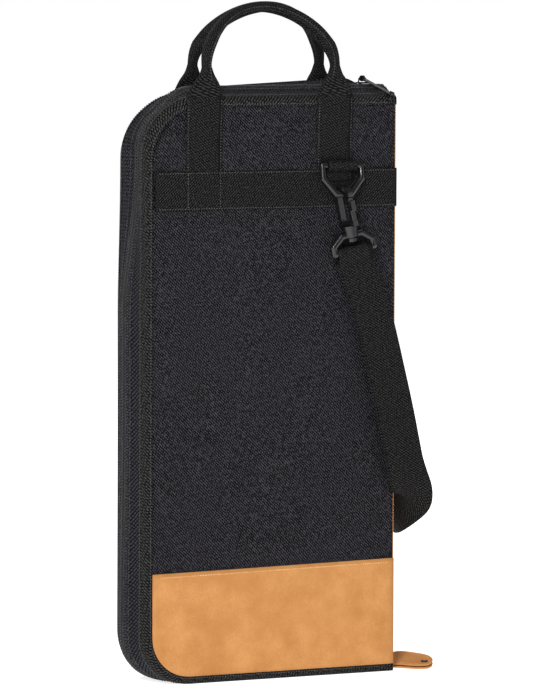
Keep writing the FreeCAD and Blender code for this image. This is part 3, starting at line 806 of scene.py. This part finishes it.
def rim_solid(name, section, side, start=0.0):
    """Solid swept round the rim; its section lists (distance beyond start, inset, proud) in mm."""
    columns = [rim_path(side, start + distance * MM, inset * MM, proud * MM)
               for distance, inset, proud in section]
    sections = np.stack(columns, axis=1)
    return tube(name, sections[:, ::-1] if side > 0 else sections)


def rim_stitches(half, distance, inset=0.0, proud=0.0, **thread):
    """Topstitch right round the side walls at a distance from the zip plane."""
    row = rim_path(HALVES[half], distance, inset, proud)
    add_stitches(SHELL[half], row[2:-2], rim_outward(row)[2:-2], **thread)


BINDING_SECTION = (
    (0.3, 6.5, 0), (1.2, 6, 0), (1.4, 4, 0), (1.2, 1.2, 0), (0.8, 0.2, 0), (0, 0, 0.3),
    (-3, 0, 0.6), (-6, 0, 0.5), (-6.5, 0.7, 0), (-6.1, 1.3, 0), (-2, 1.5, 0), (-0.6, 2.5, 0),
    (-0.3, 5, 0),
)


def binding(half):
    """Folded tape over the seam between panel and gusset, with a row of topstitch on each side."""
    side = HALVES[half]
    thing = rim_solid(f"{half}_binding_tape", BINDING_SECTION, side, FACE_Y)
    dress(thing, "binding", SHELL[half], f"{half}_binding")
    flat = outline(BINDING - 1.8 * MM)
    row = places(flat[:, 0], side * (FACE_Y + 1.3 * MM), flat[:, 1])
    add_stitches(SHELL[half], row[2:-2], (0, side, 0))
    rim_stitches(half, FACE_Y - BINDING + 1.6 * MM, proud=0.6 * MM)


GUSSET_LEVELS = 9
GUSSET_SEEDS = {"back": (21, 31), "front": (22, 32)}
ZIP_EDGE = 8.6 * MM
GUSSET_THICK = 1.0 * MM
# The creases deepen round this place (x, z) on the top corner.
CREASED_AT = (-95 * MM, 455 * MM)
CREASED_REACH = 45 * MM


def gusset(half):
    """Side wall of cloth that sags between the binding and the zip, with slack folds."""
    side = HALVES[half]
    soft_seed, sharp_seed = GUSSET_SEEDS[half]
    outer = []
    inner = []
    for distance in np.linspace(FACE_Y - BINDING + 1.0 * MM, ZIP_EDGE, GUSSET_LEVELS):
        path = rim_path(side, distance)
        outward = rim_outward(path)
        slack = math.sin(math.pi * len(outer) / (GUSSET_LEVELS - 1))
        folds = fold_field(path, soft_seed, 20)
        creases = (1 - np.abs(fold_field(path, sharp_seed, 34))) ** 3
        away = np.hypot(path[:, 0] - CREASED_AT[0], path[:, 2] - CREASED_AT[1])
        creasing = 0.5 + 1.9 * np.exp(-(away / CREASED_REACH) ** 2)
        depth = slack * MM * (0.5 + 0.5 * folds + creasing * creases)
        outer.append(path - outward * depth[:, None])
        inner.append(path - outward * (depth + GUSSET_THICK)[:, None])
    face, back = np.stack(outer, axis=1), np.stack(inner, axis=1)
    if side > 0:
        face, back = face[:, ::-1], back[:, ::-1]
    thing = closed_sheet(f"{half}_gusset_cloth", face, back)
    dress(thing, "side", SHELL[half], f"{half}_gusset")
    rim_stitches(half, ZIP_EDGE + 2.2 * MM, proud=0.1 * MM)


TAPE_SECTION = (
    (9.4, 0.5, 0), (6.5, 0.5, 0), (4.8, 0.2, 0), (3.4, 0.1, 0), (3.4, 0.9, 0), (6.5, 1.2, 0),
    (9.4, 1.2, 0),
)


def zip_tape(half):
    """Half of the zip's woven tape, lying a little below the gusset's folded edge."""
    thing = rim_solid(f"{half}_zip_tape_cloth", TAPE_SECTION, HALVES[half])
    dress(thing, "tape", SHELL[half], f"{half}_zip_tape")
    rim_stitches(half, 4.6 * MM, 0.1 * MM, pitch=2.5 * MM, long=1.9 * MM, radius=0.25 * MM)


COIL_PITCH = 2.5 * MM
COIL_AT = 3.4 * MM
COIL_WIRE = 0.5 * MM
UPPER_SUNK = 0.55 * MM
LOWER_SUNK = 1.6 * MM


def zip_coil(half):
    """Half of the coil: one bent filament whose heads reach the chain's middle."""
    side = HALVES[half]
    path = evenly(rim_path(side, COIL_AT), COIL_PITCH / 2)
    path = path[2 + (side > 0):-2]
    tail = -side * 0.1 * MM
    head = CHAIN_MIDDLE - side * (0.7 * MM + COIL_AT)
    loops = []
    for number, (point, normal) in enumerate(zip(path, rim_outward(path))):
        upper = number % 2 == 0
        sunk = point - normal * (UPPER_SUNK if upper else LOWER_SUNK)
        for shift in ((tail, head) if upper else (head, tail)):
            loops.append(sunk + (0, shift, 0))
    thing = round_bar(f"{half}_zip_coil_teeth", np.array(loops), COIL_WIRE, ring=7)
    dress(thing, "coil", SHELL[half], f"{half}_zip_coil")


# ---- webbing and handles

WEB_THICK = BAND_HIGH[1] - BAND_LOW[1]


def stitched_edges(body, path, across, outward):
    """Topstitch along both edges of flat webbing."""
    for sign in (-1, 1):
        row = path + np.array(across) * sign * (WEBBING / 2 - 1.5 * MM)
        add_stitches(body, row, outward)


def webbing_band(half):
    """Band of webbing right across the panel, pulled snug and sewn along both edges."""
    side = HALVES[half]
    x = np.linspace(BAND_LOW[0] + 0.5 * MM, BAND_HIGH[0] + 0.6 * MM, 60)
    middle = (BAND_LOW[2] + BAND_HIGH[2]) / 2
    lift = 0.35 * MM * np.sin(x * 70 + 1.0) + 0.15 * MM * np.sin(x * 173)
    tuck = 1.6 * MM * np.clip((x - BAND_HIGH[0] + 5 * MM) / (5 * MM), 0, 1) ** 2
    y = side * (FACE_Y + WEB_THICK / 2 + 0.3 * MM + lift - tuck)
    path = places(x, y, middle)
    thing = ribbon(f"{half}_band_webbing", path, (0, 0, 1), WEBBING, WEB_THICK)
    dress(thing, "webbing", SHELL[half], f"{half}_webbing_band")
    surface_row = path[1:-1] + np.array((0, side * WEB_THICK / 2, 0))
    stitched_edges(SHELL[half], surface_row, (0, 0, 1), (0, side, 0))
    for edge in (-1, 1):
        x_row = handle_centre(half) - LEG_REACH + edge * (WEBBING / 2 - 1.5 * MM)
        up = np.linspace(middle - WEBBING / 2 + 3 * MM, middle + WEBBING / 2 - 3 * MM, 9)
        near = np.interp(x_row, x, y)
        row = places(x_row, near + side * WEB_THICK / 2, up)
        add_stitches(SHELL[half], row, (0, side, 0))


# Heights on a handle's leg, and how far it stands out of the panel there in mm.
LEG_RISE = (
    (BAND_HIGH[2] - 1.0 * MM, 0.9), (0.436, 0.95), (0.452, 1.05), (0.461, 1.5), (0.469, 2.2),
    (LEGS_HIGH[2] + 1.2 * MM, 2.3),
)


def handle_leg(half, sign):
    """Flat end of the handle's webbing, sewn to the panel and lifting over the binding."""
    side = HALVES[half]
    centre = handle_centre(half) + sign * LEG_REACH
    path = smooth_path([(centre, side * (FACE_Y + out * MM), z) for z, out in LEG_RISE], 2 * MM)
    thing = ribbon(f"{half}_leg_{'left' if sign < 0 else 'right'}", path, (1, 0, 0), WEBBING,
                   WEB_THICK)
    dress(thing, "webbing", SHELL[half])
    rows = path[1:-2] + np.array((0, side * WEB_THICK / 2, 0))
    stitched_edges(SHELL[half], rows, (1, 0, 0), (0, side, 0))


HANDLE_LEAN = math.radians(15.4)
NECK_UP = 26 * MM
CORNER_RADIUS = 38 * MM
CROWN_RADIUS = 60 * MM
NECK_FLARE = -1 * MM
NECK_BOW = 9 * MM
NECK_THICK = 7.5 * MM
CORNER_WIDE = 9 * MM
CROWN_WIDE = 7 * MM
CROWN_DEEP = 14 * MM


def between(start, end, share):
    return start + (end - start) * share


def arch_curve():
    """Half of the handle's arch in its own plane: (across, up, turn, width, depth) rows."""
    neck_at = LEG_REACH + NECK_FLARE
    meet = math.acos((neck_at - CORNER_RADIUS) / (CROWN_RADIUS - CORNER_RADIUS))
    rows = [(-LEG_REACH, 0.0, 0, WEBBING, WEB_THICK),
            (-LEG_REACH, 4 * MM, 0, 31 * MM, 2.2 * MM),
            (-LEG_REACH + 0.5 * MM, 12 * MM, 0, 23 * MM, 4.5 * MM),
            (-LEG_REACH + 1 * MM, 19 * MM, 0, 12.5 * MM, 7 * MM),
            (-neck_at, NECK_UP, 0, NECK_THICK, NECK_THICK)]
    for share in np.linspace(0.2, 1, 5):
        turn = meet * share
        rows.append((-neck_at + CORNER_RADIUS * (1 - math.cos(turn)),
                     NECK_UP + CORNER_RADIUS * math.sin(turn), turn,
                     between(NECK_THICK, CORNER_WIDE, share),
                     between(NECK_THICK, CROWN_DEEP, eased(share))))
    centre_up = NECK_UP - (CROWN_RADIUS - CORNER_RADIUS) * math.sin(meet)
    for share in np.linspace(0.2, 1, 5):
        turn = meet + (math.pi / 2 - meet) * share
        rows.append((-CROWN_RADIUS * math.cos(turn), centre_up + CROWN_RADIUS * math.sin(turn),
                     turn, between(CORNER_WIDE, CROWN_WIDE, share), CROWN_DEEP))
    return rows


SECTION_SQUARENESS = 0.62
CREASE_TURN = 0.16
CREASE_SHARE = 0.32
# Depth at which webbing starts to show its crease, and how much more shows it in full.
FOLD_FROM = 4 * MM
FOLD_OVER = 6 * MM


def folded_section(wide, deep, ring=40):
    """Sections of webbing folded on itself: rounded outside, creased where its edges meet."""
    turn = np.linspace(0, 2 * math.pi, ring, endpoint=False)
    across, through = (np.sign(wave) * np.abs(wave) ** SECTION_SQUARENESS
                       for wave in (np.cos(turn), np.sin(turn)))
    near_crease = np.exp(-((turn - math.pi) / CREASE_TURN) ** 2)
    crease = near_crease * np.minimum(wide, deep) * CREASE_SHARE
    folded = np.clip((deep - FOLD_FROM) / FOLD_OVER, 0, 1)
    return across * wide / 2 + crease * folded, through * deep / 2


def handle_grip(half):
    """Carrying arch: webbing folded lengthwise, flat at its feet, stitched near its edges."""
    side = HALVES[half]
    rows = arch_curve()
    rows = np.array(rows + [(-x, up, math.pi - turn, *size) for x, up, turn, *size in rows[-2::-1]])
    pivot = np.array((handle_centre(half), side * (FACE_Y + 2.3 * MM), LEGS_HIGH[2]))
    along_x = np.array((1, 0, 0))
    in_plane = np.array((0, -side * math.sin(HANDLE_LEAN), math.cos(HANDLE_LEAN)))
    normal = np.array((0, side * math.cos(HANDLE_LEAN), math.sin(HANDLE_LEAN)))
    bow = NECK_BOW * np.sin(math.pi * rows[:, 1:2] / rows[:, 1].max())
    middle = rows[:, :1] * along_x + rows[:, 1:2] * in_plane + bow * (0, side, 0)
    travelled = np.concatenate(([0], np.cumsum(np.linalg.norm(np.diff(middle, axis=0), axis=1))))
    path = smooth_path(middle, 2.5 * MM)
    at = np.linspace(0, travelled[-1], len(path))
    turn, wide, deep = (np.interp(at, travelled, rows[:, k])[:, None] for k in (2, 3, 4))
    outward = np.sin(turn) * in_plane - np.cos(turn) * along_x
    across, through = folded_section(wide, deep)
    path += pivot
    rings = (path[:, None] + across[..., None] * outward[:, None]
             - through[..., None] * normal * side)
    thing = tube(f"{half}_grip_webbing", rings)
    dress(thing, "webbing", f"handle_{half}", f"{half}_handle_grip", f"{half}_handle_legs")
    seam = path + normal * (deep / 2 - 0.1 * MM) - outward * wide * 0.2
    add_stitches(f"handle_{half}", seam[6:-6], normal)


# ---- rings and hooks

RING_BAR_RADIUS = 2.1 * MM
RING_BAR_OUT = 5.5 * MM
RING_LOOP_GAP = 1.6 * MM


def ring_loop(half):
    """Short webbing loop round the ring's top bar, sewn to the band."""
    side = HALVES[half]
    low, high = low_high(f"{half}_ring_loop")
    bar_x = (low[0] + high[0]) / 2
    bar_z = low_high(f"{half}_d_ring")[1][2] - RING_BAR_RADIUS
    bar_out = FACE_Y + RING_BAR_OUT
    reach = RING_BAR_RADIUS + RING_LOOP_GAP
    profile = [(FACE_Y + 2.4 * MM, low[2] - 2 * MM), (FACE_Y + 2.3 * MM, low[2] + 3 * MM)]
    for angle in np.radians(np.linspace(-10, 290, 16)):
        profile.append((bar_out - reach * math.cos(angle), bar_z + reach * math.sin(angle)))
    path = smooth_path([(bar_x, side * out, z) for out, z in profile], 1.2 * MM)
    thing = ribbon(f"{half}_loop_webbing", path, (1, 0, 0), high[0] - low[0], 1.3 * MM)
    dress(thing, "webbing", SHELL[half], f"{half}_ring_loop")


def hardware(name, finish, edge, plump=0.0):
    """A CAD piece whose shape is right: fuller if asked, rounded edges, procedural finish."""
    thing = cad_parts[name]
    dress(thing, finish)
    thing.data.shade_smooth()
    if plump:
        thing.modifiers.new("Closed", "WELD").merge_threshold = 0.01 * MM
        fuller = thing.modifiers.new("Fuller", "DISPLACE")
        fuller.strength = plump
        fuller.mid_level = 0
    bevel = thing.modifiers.new("Rounded", "BEVEL")
    bevel.width = edge
    bevel.segments = 3
    bevel.limit_method = "ANGLE"
    bevel.angle_limit = math.radians(35)
    thing.modifiers.new("Shading", "WEIGHTED_NORMAL")


# ---- inside

QUILT_WIDE = 56 * MM
QUILT_HIGH = 80 * MM
QUILT_DEPTH = 0.9 * MM


def lining(half):
    """Lining cloth inside the half, lightly quilted."""
    side = HALVES[half]
    low, high = low_high(f"{half}_lining")
    near, far = sorted((abs(low[1]), abs(high[1])))
    x, z = panel_places(3.0 * MM, HALF_WIDTH - 3.2 * MM, 73, 37)
    across, up = np.sin(x * math.pi / QUILT_WIDE), np.sin((z - 0.1) * math.pi / QUILT_HIGH)
    quilt = np.abs(across * up) ** 0.6
    free = (z > SLEEVE_HIGH[2] + 6 * MM) * QUILT_DEPTH
    inner = near - quilt * free
    face = places(x, side * far, z)
    back = places(x, side * inner, z)
    thing = closed_sheet(f"{half}_lining_cloth", face, back)
    dress(thing, "lining", SHELL[half], f"{half}_lining")


CHANNELS = 3
CHANNEL_COLUMNS = 16
SLEEVE_ROWS = 40
SLEEVE_FOOT = 26 * MM
SLEEVE_SLACK = 0.12
SLEEVE_CLOTH = 1.1 * MM
HEM_HIGH = 11 * MM
HEM_THICK = 1.8 * MM


def stick_sleeves(half):
    """Three stick sleeves: bulging channels sewn to the lining, with a hemmed mouth."""
    side = HALVES[half]
    root = abs(low_high(*sleeve_nodes(half))[0 if side < 0 else 1][1])
    reach = SLEEVE_HIGH[1] - SLEEVE_LOW[1]
    z = np.linspace(SLEEVE_LOW[2] + 0.5 * MM, SLEEVE_HIGH[2], SLEEVE_ROWS)
    share = np.linspace(0, CHANNELS, CHANNEL_COLUMNS * CHANNELS + 1)
    x = SLEEVE_LOW[0] + (SLEEVE_HIGH[0] - SLEEVE_LOW[0]) * share / CHANNELS
    bulge = np.abs(np.sin(math.pi * share)) ** 0.45
    foot = np.clip((z - z[0]) / SLEEVE_FOOT, 0, 1) ** 0.5
    loose = 1 - SLEEVE_SLACK * (1 + np.sin(z[:, None] * 38 + share[None, :] * 1.3)) / 2
    depth = reach * (0.08 + 0.9 * bulge[None, :] * foot[:, None] * loose)
    face = places(x, side * (root - depth), z[:, None])
    back = places(x, side * (root - np.maximum(depth - SLEEVE_CLOTH, 0.1 * MM)), z[:, None])
    thing = closed_sheet(f"{half}_sleeves_cloth", face, back)
    dress(thing, "lining", SHELL[half], *sleeve_nodes(half))
    hem_path = face[-1] + np.array((0, side * 0.5 * MM, -5 * MM))
    hem = ribbon(f"{half}_sleeves_hem", hem_path, (0, 0, 1), HEM_HIGH, HEM_THICK)
    dress(hem, "binding", SHELL[half])
    for number in range(CHANNELS + 1):
        add_stitches(SHELL[half], face[1:-4, number * CHANNEL_COLUMNS], (0, -side, 0))


# ---- spine


def spine_layer(name, x_inner, x_outer, nodes, finish, margin, puff=0.0):
    """Soft-edged wall layer of the spine between two X positions."""
    y = np.linspace(SPINE_LOW[1] + margin, SPINE_HIGH[1] - margin, 15)
    z = np.linspace(SPINE_LOW[2], SPINE_HIGH[2], 97)
    across, up = np.meshgrid(y, z)
    from_edge = np.minimum.reduce((across - y[0], y[-1] - across, up - z[0], z[-1] - up))
    crown = puff * (1 - np.exp(-from_edge / (7 * MM))) - 0.3 * MM * np.exp(-from_edge / (1 * MM))
    ripple = 0.25 * MM * fold_field(places(across, up, 0), 9, 50)
    outer = places(x_outer + crown + ripple * np.minimum(from_edge / (6 * MM), 1), across, up)
    inner = places(x_inner, across, up)
    thing = closed_sheet(name, outer, inner)
    dress(thing, finish, "spine", *nodes)
    return thing


def spine():
    """Suede strip with topstitched edges over the spine's padded wall, and its lining."""
    outer = SPINE_HIGH[0]
    inner_low = low_high("spine_lining")[0][0]
    foam_low = low_high("spine_foam")[0][0]
    spine_layer("spine_suede_soft", SPINE_LOW[0], outer, ["spine_suede_strip"], "suede",
                1.8 * MM, puff=0.3 * MM)
    wall = spine_layer("spine_wall_padded", foam_low + 0.3 * MM, SPINE_LOW[0] - 0.1 * MM,
                       ["spine_panel", "spine_foam"], "side", 0.3 * MM)
    spine_layer("spine_lining_cloth", inner_low, foam_low, ["spine_lining"], "lining", 7 * MM)
    up = np.linspace(SPINE_LOW[2] + 3 * MM, SPINE_HIGH[2] - 3 * MM, 200)
    for y in (SPINE_LOW[1] + 3.4 * MM, SPINE_HIGH[1] - 3.4 * MM):
        row = places(outer + 0.2 * MM, y, up)
        add_stitches("spine", row, (1, 0, 0), thread="tan_thread")
    for half in HALVES:
        spine_hinge(half)


# Points round the corner from the panel to the spine, in mm from the panel's spine edge.
HINGE_SECTION = ((-4.5, -0.9), (-2.5, -0.6), (-0.9, -0.9), (-0.3, -2.2), (-0.2, -4.2))


def spine_hinge(half):
    """Fabric corner between a panel and the spine."""
    side = HALVES[half]
    up = np.linspace(SPINE_LOW[2], SPINE_HIGH[2], 60)
    x, y = np.array(HINGE_SECTION).T * MM
    outer = places(HALF_WIDTH + x, side * (FACE_Y + y), up[:, None])
    thing = closed_sheet(f"spine_hinge_{half}", outer, outer - (0.7 * MM, side * 0.7 * MM, 0))
    dress(thing, "side")
    hinge = [(SHELL[half], outer[30, 0].tolist()), ("spine", outer[30, -1].tolist())]
    if half == "front":
        hinge.reverse()
    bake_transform(thing)


# ---- zip's end tab

TAB_ROUTE = np.array((SPINE_HIGH[0] + 0.6 * MM, 0, 0)) + MM * np.array((
    (0, 0, 3.8), (8.5, -3, 5.2), (16.5, -9, 5.0), (24, -17.5, 4.2), (30, -24, 3.4), (34.5, -29, 2.8),
))
TAB_ROLL = math.radians(17)
TAB_HALF_WIDTH = 13 * MM
TAB_REST = 2.3 * MM
TAB_STITCH_IN = 2.4 * MM
TAB_STITCH_UP = 2.05 * MM
EYELET_HOLE = 1.7 * MM
EYELET_RADIUS = 2.4 * MM
EYELET_UP = 2.2 * MM


def tab_heights(places, aside):
    """Height of the rolled tab's middle beside its centre line, kept off the floor."""
    roll = TAB_ROLL * eased(np.linalg.norm(places - TAB_ROUTE[0], axis=-1) / (16 * MM))
    return np.maximum(places[..., 2] + aside * np.sin(roll), TAB_REST)


def tab_layer(name, low, high, length_share, rounded):
    """One layer of the tab: rounded tip, softly arched, following the tab's route."""
    path = smooth_path(TAB_ROUTE, 1.5 * MM)
    path = path[:int(len(path) * length_share)]
    flat = directions(path)
    flat[:, 2] = 0
    flat[0] = (1, 0, 0)
    across = np.cross((0, 0, 1), unit(flat))
    travelled = np.linspace(0, path_length(path), len(path))
    left = travelled[-1] - travelled
    half = np.full(len(path), TAB_HALF_WIDTH - (0 if rounded else 4 * MM))
    if rounded:
        near_tip = left < TAB_HALF_WIDTH
        half[near_tip] *= np.sqrt(1 - (1 - left[near_tip] / TAB_HALF_WIDTH) ** 2) * 0.97 + 0.03
    thick = high - low
    rings = []
    for place, side, reach in zip(path, across, half):
        section = flat_section(2 * reach, min(thick, 1.6 * reach))
        ring = place + section[:, :1] * side
        ring[:, 2] = tab_heights(place, section[:, 0]) + (low + high) / 2 + section[:, 1]
        rings.append(ring)
    return tube(name, np.array(rings)), path, across, half


def pierced(thing, centre, radius):
    """Cut a round hole up through a piece."""
    turn = np.linspace(0, 2 * math.pi, 24, endpoint=False)
    ring = places(np.cos(turn) * radius, np.sin(turn) * radius, 0)
    cutter = tube("cutter", np.stack([centre + ring + (0, 0, up) for up in (-0.012, 0.012)]))
    cut = thing.modifiers.new("Hole", "BOOLEAN")
    cut.object = cutter
    cut.operation = "DIFFERENCE"
    cut.solver = "EXACT"
    view = bpy.context.evaluated_depsgraph_get()
    mesh = bpy.data.meshes.new_from_object(thing.evaluated_get(view))
    thing.modifiers.clear()
    thing.data = mesh
    bpy.data.objects.remove(cutter)


def zip_tab():
    """Folded suede tab over the zip's end, its tape end, eyelet and edge stitching."""
    lower, path, across, half = tab_layer("tab_lower_suede", -2.2 * MM, -0.5 * MM, 1, True)
    upper = tab_layer("tab_upper_suede", 0.4 * MM, 2.1 * MM, 1, True)[0]
    tape = tab_layer("tab_tape_end", -0.45 * MM, 0.35 * MM, 0.62, False)[0]
    hole = TAB_ROUTE[-2]
    for layer in (lower, upper):
        pierced(layer, hole, EYELET_HOLE)
    turn = np.linspace(0, 2 * math.pi, 28, endpoint=False)
    rim = hole + places(EYELET_RADIUS * np.cos(turn), EYELET_RADIUS * np.sin(turn), EYELET_UP)
    eyelet = round_bar("tab_eyelet", rim, 0.6 * MM, closed=True)
    dress(eyelet, "metal", "zip_tab")
    dress(lower, "suede", "zip_tab", "zip_tab_lower_suede")
    dress(upper, "suede", "zip_tab", "zip_tab_upper_suede")
    dress(tape, "tape", "zip_tab", "zip_tape_end")
    for sign in (-1, 1):
        aside = sign * (half - TAB_STITCH_IN)
        row = path + across * aside[:, None]
        row[:, 2] = tab_heights(path, aside) + TAB_STITCH_UP
        add_stitches("zip_tab", row[2:-6], (0, 0, 1), radius=0.3 * MM, thread="tan_thread")


# ---- shoulder strap

# Centre line of the strap in mm, and how far its outer edge has turned downwards there.
STRAP_ROUTE_MM = (
    (71.9, -38.6, 347.6, 0), (76, -38.8, 333, 0), (82.5, -39.3, 314, 0), (90, -40, 288, 0),
    (98.7, -41, 252, 0), (107.5, -41.5, 216, 0), (116.5, -41, 178, 0), (121.5, -39.5, 163, 8),
    (127, -36, 152, 20), (130.5, -28, 143, 38), (128.5, -13, 134, 56), (128, 3, 127, 60),
    (129, 18, 122, 54), (130.5, 33, 118, 36), (126, 41, 122, 18), (121, 44.5, 133, 6),
    (113, 44.5, 160, 0), (104, 43.5, 198, 0), (95, 42.5, 238, 0), (87, 41.5, 275, 0),
    (80, 39.9, 314, 0), (71.9, 38.6, 347.6, 0),
)
LAYER_GAP = 0.65 * MM
LAYER_THICK = 1.15 * MM
# The doubled webbing's two layers: side of the centre line, and shift along the width.
STRAP_LAYERS = ((1, 0.5 * MM), (-1, -1.1 * MM))
STRAP_PIECES = (
    # name, first and last route point, bodies at either end, route points the bend spans, nodes
    ("strap_back_hanging", 0, 5, ("clip_back", "back_shell"), (1, 4), ["strap_near_webbing"]),
    ("strap_back_corner", 5, 11, ("back_shell", "spine"), (7, 10), ["strap_turn_webbing"]),
    ("strap_front_corner", 11, 16, ("spine", "front_cover"), (12, 15), []),
    ("strap_front_hanging", 16, 21, ("front_cover", "clip_front"), (17, 20),
     ["strap_far_webbing"]),
)


def strap_path():
    """The strap's even path, and where along it each route point falls."""
    route = np.array(STRAP_ROUTE_MM)[:, :3] * MM
    path = smooth_path(route, 3 * MM)
    marks = [int(np.argmin(np.linalg.norm(path - place, axis=1))) for place in route]
    turned = np.radians(np.interp(np.arange(len(path)), marks, np.array(STRAP_ROUTE_MM)[:, 3]))
    return route, path, marks, turned[:, None]


def shoulder_strap():
    """Doubled webbing from hook to hook, in four lengths."""
    route, path, marks, turned = strap_path()
    along = directions(path)
    level = unit(np.array((1.0, 0, 0)) - along * along[:, :1])
    across = level * np.cos(turned) + np.cross(along, level) * np.sin(turned)
    through = np.cross(along, across)
    wander = 0.9 * MM * np.sin(np.linspace(0, 9, len(path)))[:, None]
    for name, first, last, bodies, bend, nodes in STRAP_PIECES:
        cut = slice(marks[first], marks[last] + 1)
        layers = []
        for sign, shift in STRAP_LAYERS:
            centre = path[cut] + through[cut] * sign * LAYER_GAP + across[cut] * (shift + wander[cut])
            layers.append(ribbon(f"{name}_{sign}", centre, across[cut], WEBBING, LAYER_THICK))
        thing = joined(name, layers)
        dress(thing, "webbing", None, *nodes)
        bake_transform(thing)
    for half in HALVES:
        strap_end_loop(half)


BAR_TILT = math.radians(12)
BAR_X = 70.2 * MM
BAR_Z = 354.1 * MM
LOOP_RADIUS = 3.3 * MM
# Points of the loop's lower ends in mm: distance below the bar and out from its middle.
LOOP_ENDS = ((11, 1.1), (7.5, 1.7), (3.5, 2.9))


def strap_end_loop(half):
    """The strap's end, wrapped round the swivel's lowest bar."""
    low, high = low_high(f"{half}_swivel_base")
    outward = np.array((0, HALVES[half], 0))
    bar_along = np.array((math.cos(BAR_TILT), 0, math.sin(BAR_TILT)))
    hanging = np.array((math.sin(BAR_TILT), 0, -math.cos(BAR_TILT)))
    bar = np.array((BAR_X, (low[1] + high[1]) / 2, BAR_Z))
    front = [bar + hanging * down * MM + outward * gap * MM for down, gap in LOOP_ENDS]
    wrap = [bar + (outward * math.cos(turn) - hanging * math.sin(turn)) * LOOP_RADIUS
            for turn in np.linspace(0, math.pi, 13)]
    back = [bar + hanging * down * MM - outward * gap * MM for down, gap in LOOP_ENDS[::-1]]
    path = smooth_path(front + wrap + back, 1.5 * MM)
    thing = ribbon(f"strap_loop_{half}", path, bar_along, WEBBING - 0.6 * MM, LAYER_THICK)
    dress(thing, "webbing", f"clip_{half}")


# ---- stage, light and camera

MIDDLE = (0, 0, 0.28)


def aimed(thing, place, target):
    """Put a light or the camera somewhere, pointing at a target."""
    thing.location = place
    direction = Vector(target) - thing.location
    thing.rotation_euler = direction.to_track_quat("-Z", "Y").to_euler()


def softbox(name, place, size, watts):
    light = bpy.data.lights.new(name, "AREA")
    light.shape = "RECTANGLE"
    light.size, light.size_y = size
    light.energy = watts
    aimed(added(name, light), place, MIDDLE)


def floor():
    edge = np.array((-12.0, 12.0))
    points = places(edge[:, None], edge, -0.3 * MM)
    thing = mesh_object("studio_floor", points.reshape(-1, 3), grid_faces(2, 2), grid_uvs(points))
    thing.data.materials.append(MATERIAL["floor"])


def lights():
    """A bright even studio: white surroundings, a large key on the left and a rim light."""
    world = bpy.data.worlds.new("studio")
    bpy.context.scene.world = world
    world.use_nodes = True
    tree = world.node_tree
    background = tree.nodes["Background"]
    background.inputs["Color"].default_value = (1, 1, 1, 1)
    seen = node(tree, "LightPath").outputs["Is Camera Ray"]
    tree.links.new(ranged(tree, seen, 0.0, 1.0, 0.2, 1.0), background.inputs["Strength"])
    softbox("key_light", (-1.5, -2.0, 1.7), (0.6, 0.6), 59)
    softbox("fill_light", (2.4, -1.6, 0.8), (1.2, 1.6), 5)
    softbox("rim_light", (0.4, 2.2, 2.0), (2.0, 1.0), 20)
    softbox("top_light", (0, 0.3, 3.2), (2.6, 2.6), 26)


CAMERA_AZIMUTH = math.radians(-24.31)
CAMERA_ELEVATION = math.radians(4.93)
CAMERA_ROLL = math.radians(0.225)
CAMERA_DISTANCE = 4.0
CAMERA_LENS = 316.9
CAMERA_RIGHT_OF_MIDDLE = 14.48 * MM
CAMERA_HEIGHT = 0.2764


def camera():
    """Long lens at the product-shot angle."""
    cos, sin = math.cos(CAMERA_AZIMUTH), math.sin(CAMERA_AZIMUTH)
    level, drop = math.cos(CAMERA_ELEVATION), math.sin(CAMERA_ELEVATION)
    target = np.array((0, 0, CAMERA_HEIGHT)) + np.array((cos, sin, 0)) * CAMERA_RIGHT_OF_MIDDLE
    look = np.array((-sin * level, cos * level, -drop))
    data = bpy.data.cameras.new("camera")
    data.lens = CAMERA_LENS
    data.sensor_width = 36
    data.sensor_fit = "HORIZONTAL"
    thing = added("camera", data)
    aimed(thing, target - look * CAMERA_DISTANCE, target)
    thing.rotation_euler.rotate_axis("Z", CAMERA_ROLL)
    bpy.context.scene.camera = thing


# ---- build everything


def build_half(half):
    panel(half)
    suede_patch(half)
    binding(half)
    gusset(half)
    zip_tape(half)
    zip_coil(half)
    webbing_band(half)
    for sign in (-1, 1):
        handle_leg(half, sign)
    handle_grip(half)
    ring_loop(half)
    lining(half)
    stick_sleeves(half)
    for piece, edge, plump in (("d_ring", 0.2, 0.6), ("hook_body", 0.8, 0.5),
                               ("hook_gate", 0.5, 0.7), ("swivel_base", 0.4, 0.8)):
        hardware(f"{half}_{piece}", "plastic", edge * MM, plump * MM)


for each_half in HALVES:
    build_half(each_half)
spine()
zip_tab()
shoulder_strap()
hardware("strap_adjuster", "plastic", 0.3 * MM)
for zip_piece, rounding in (("slider_body", 0.25), ("pull_tab", 0.25), ("pull_ring", 0.1)):
    hardware(f"zip_{zip_piece}", "metal", rounding * MM)
stitch_objects()
floor()
lights()
camera()
bpy.context.scene.view_settings.view_transform = "Standard"
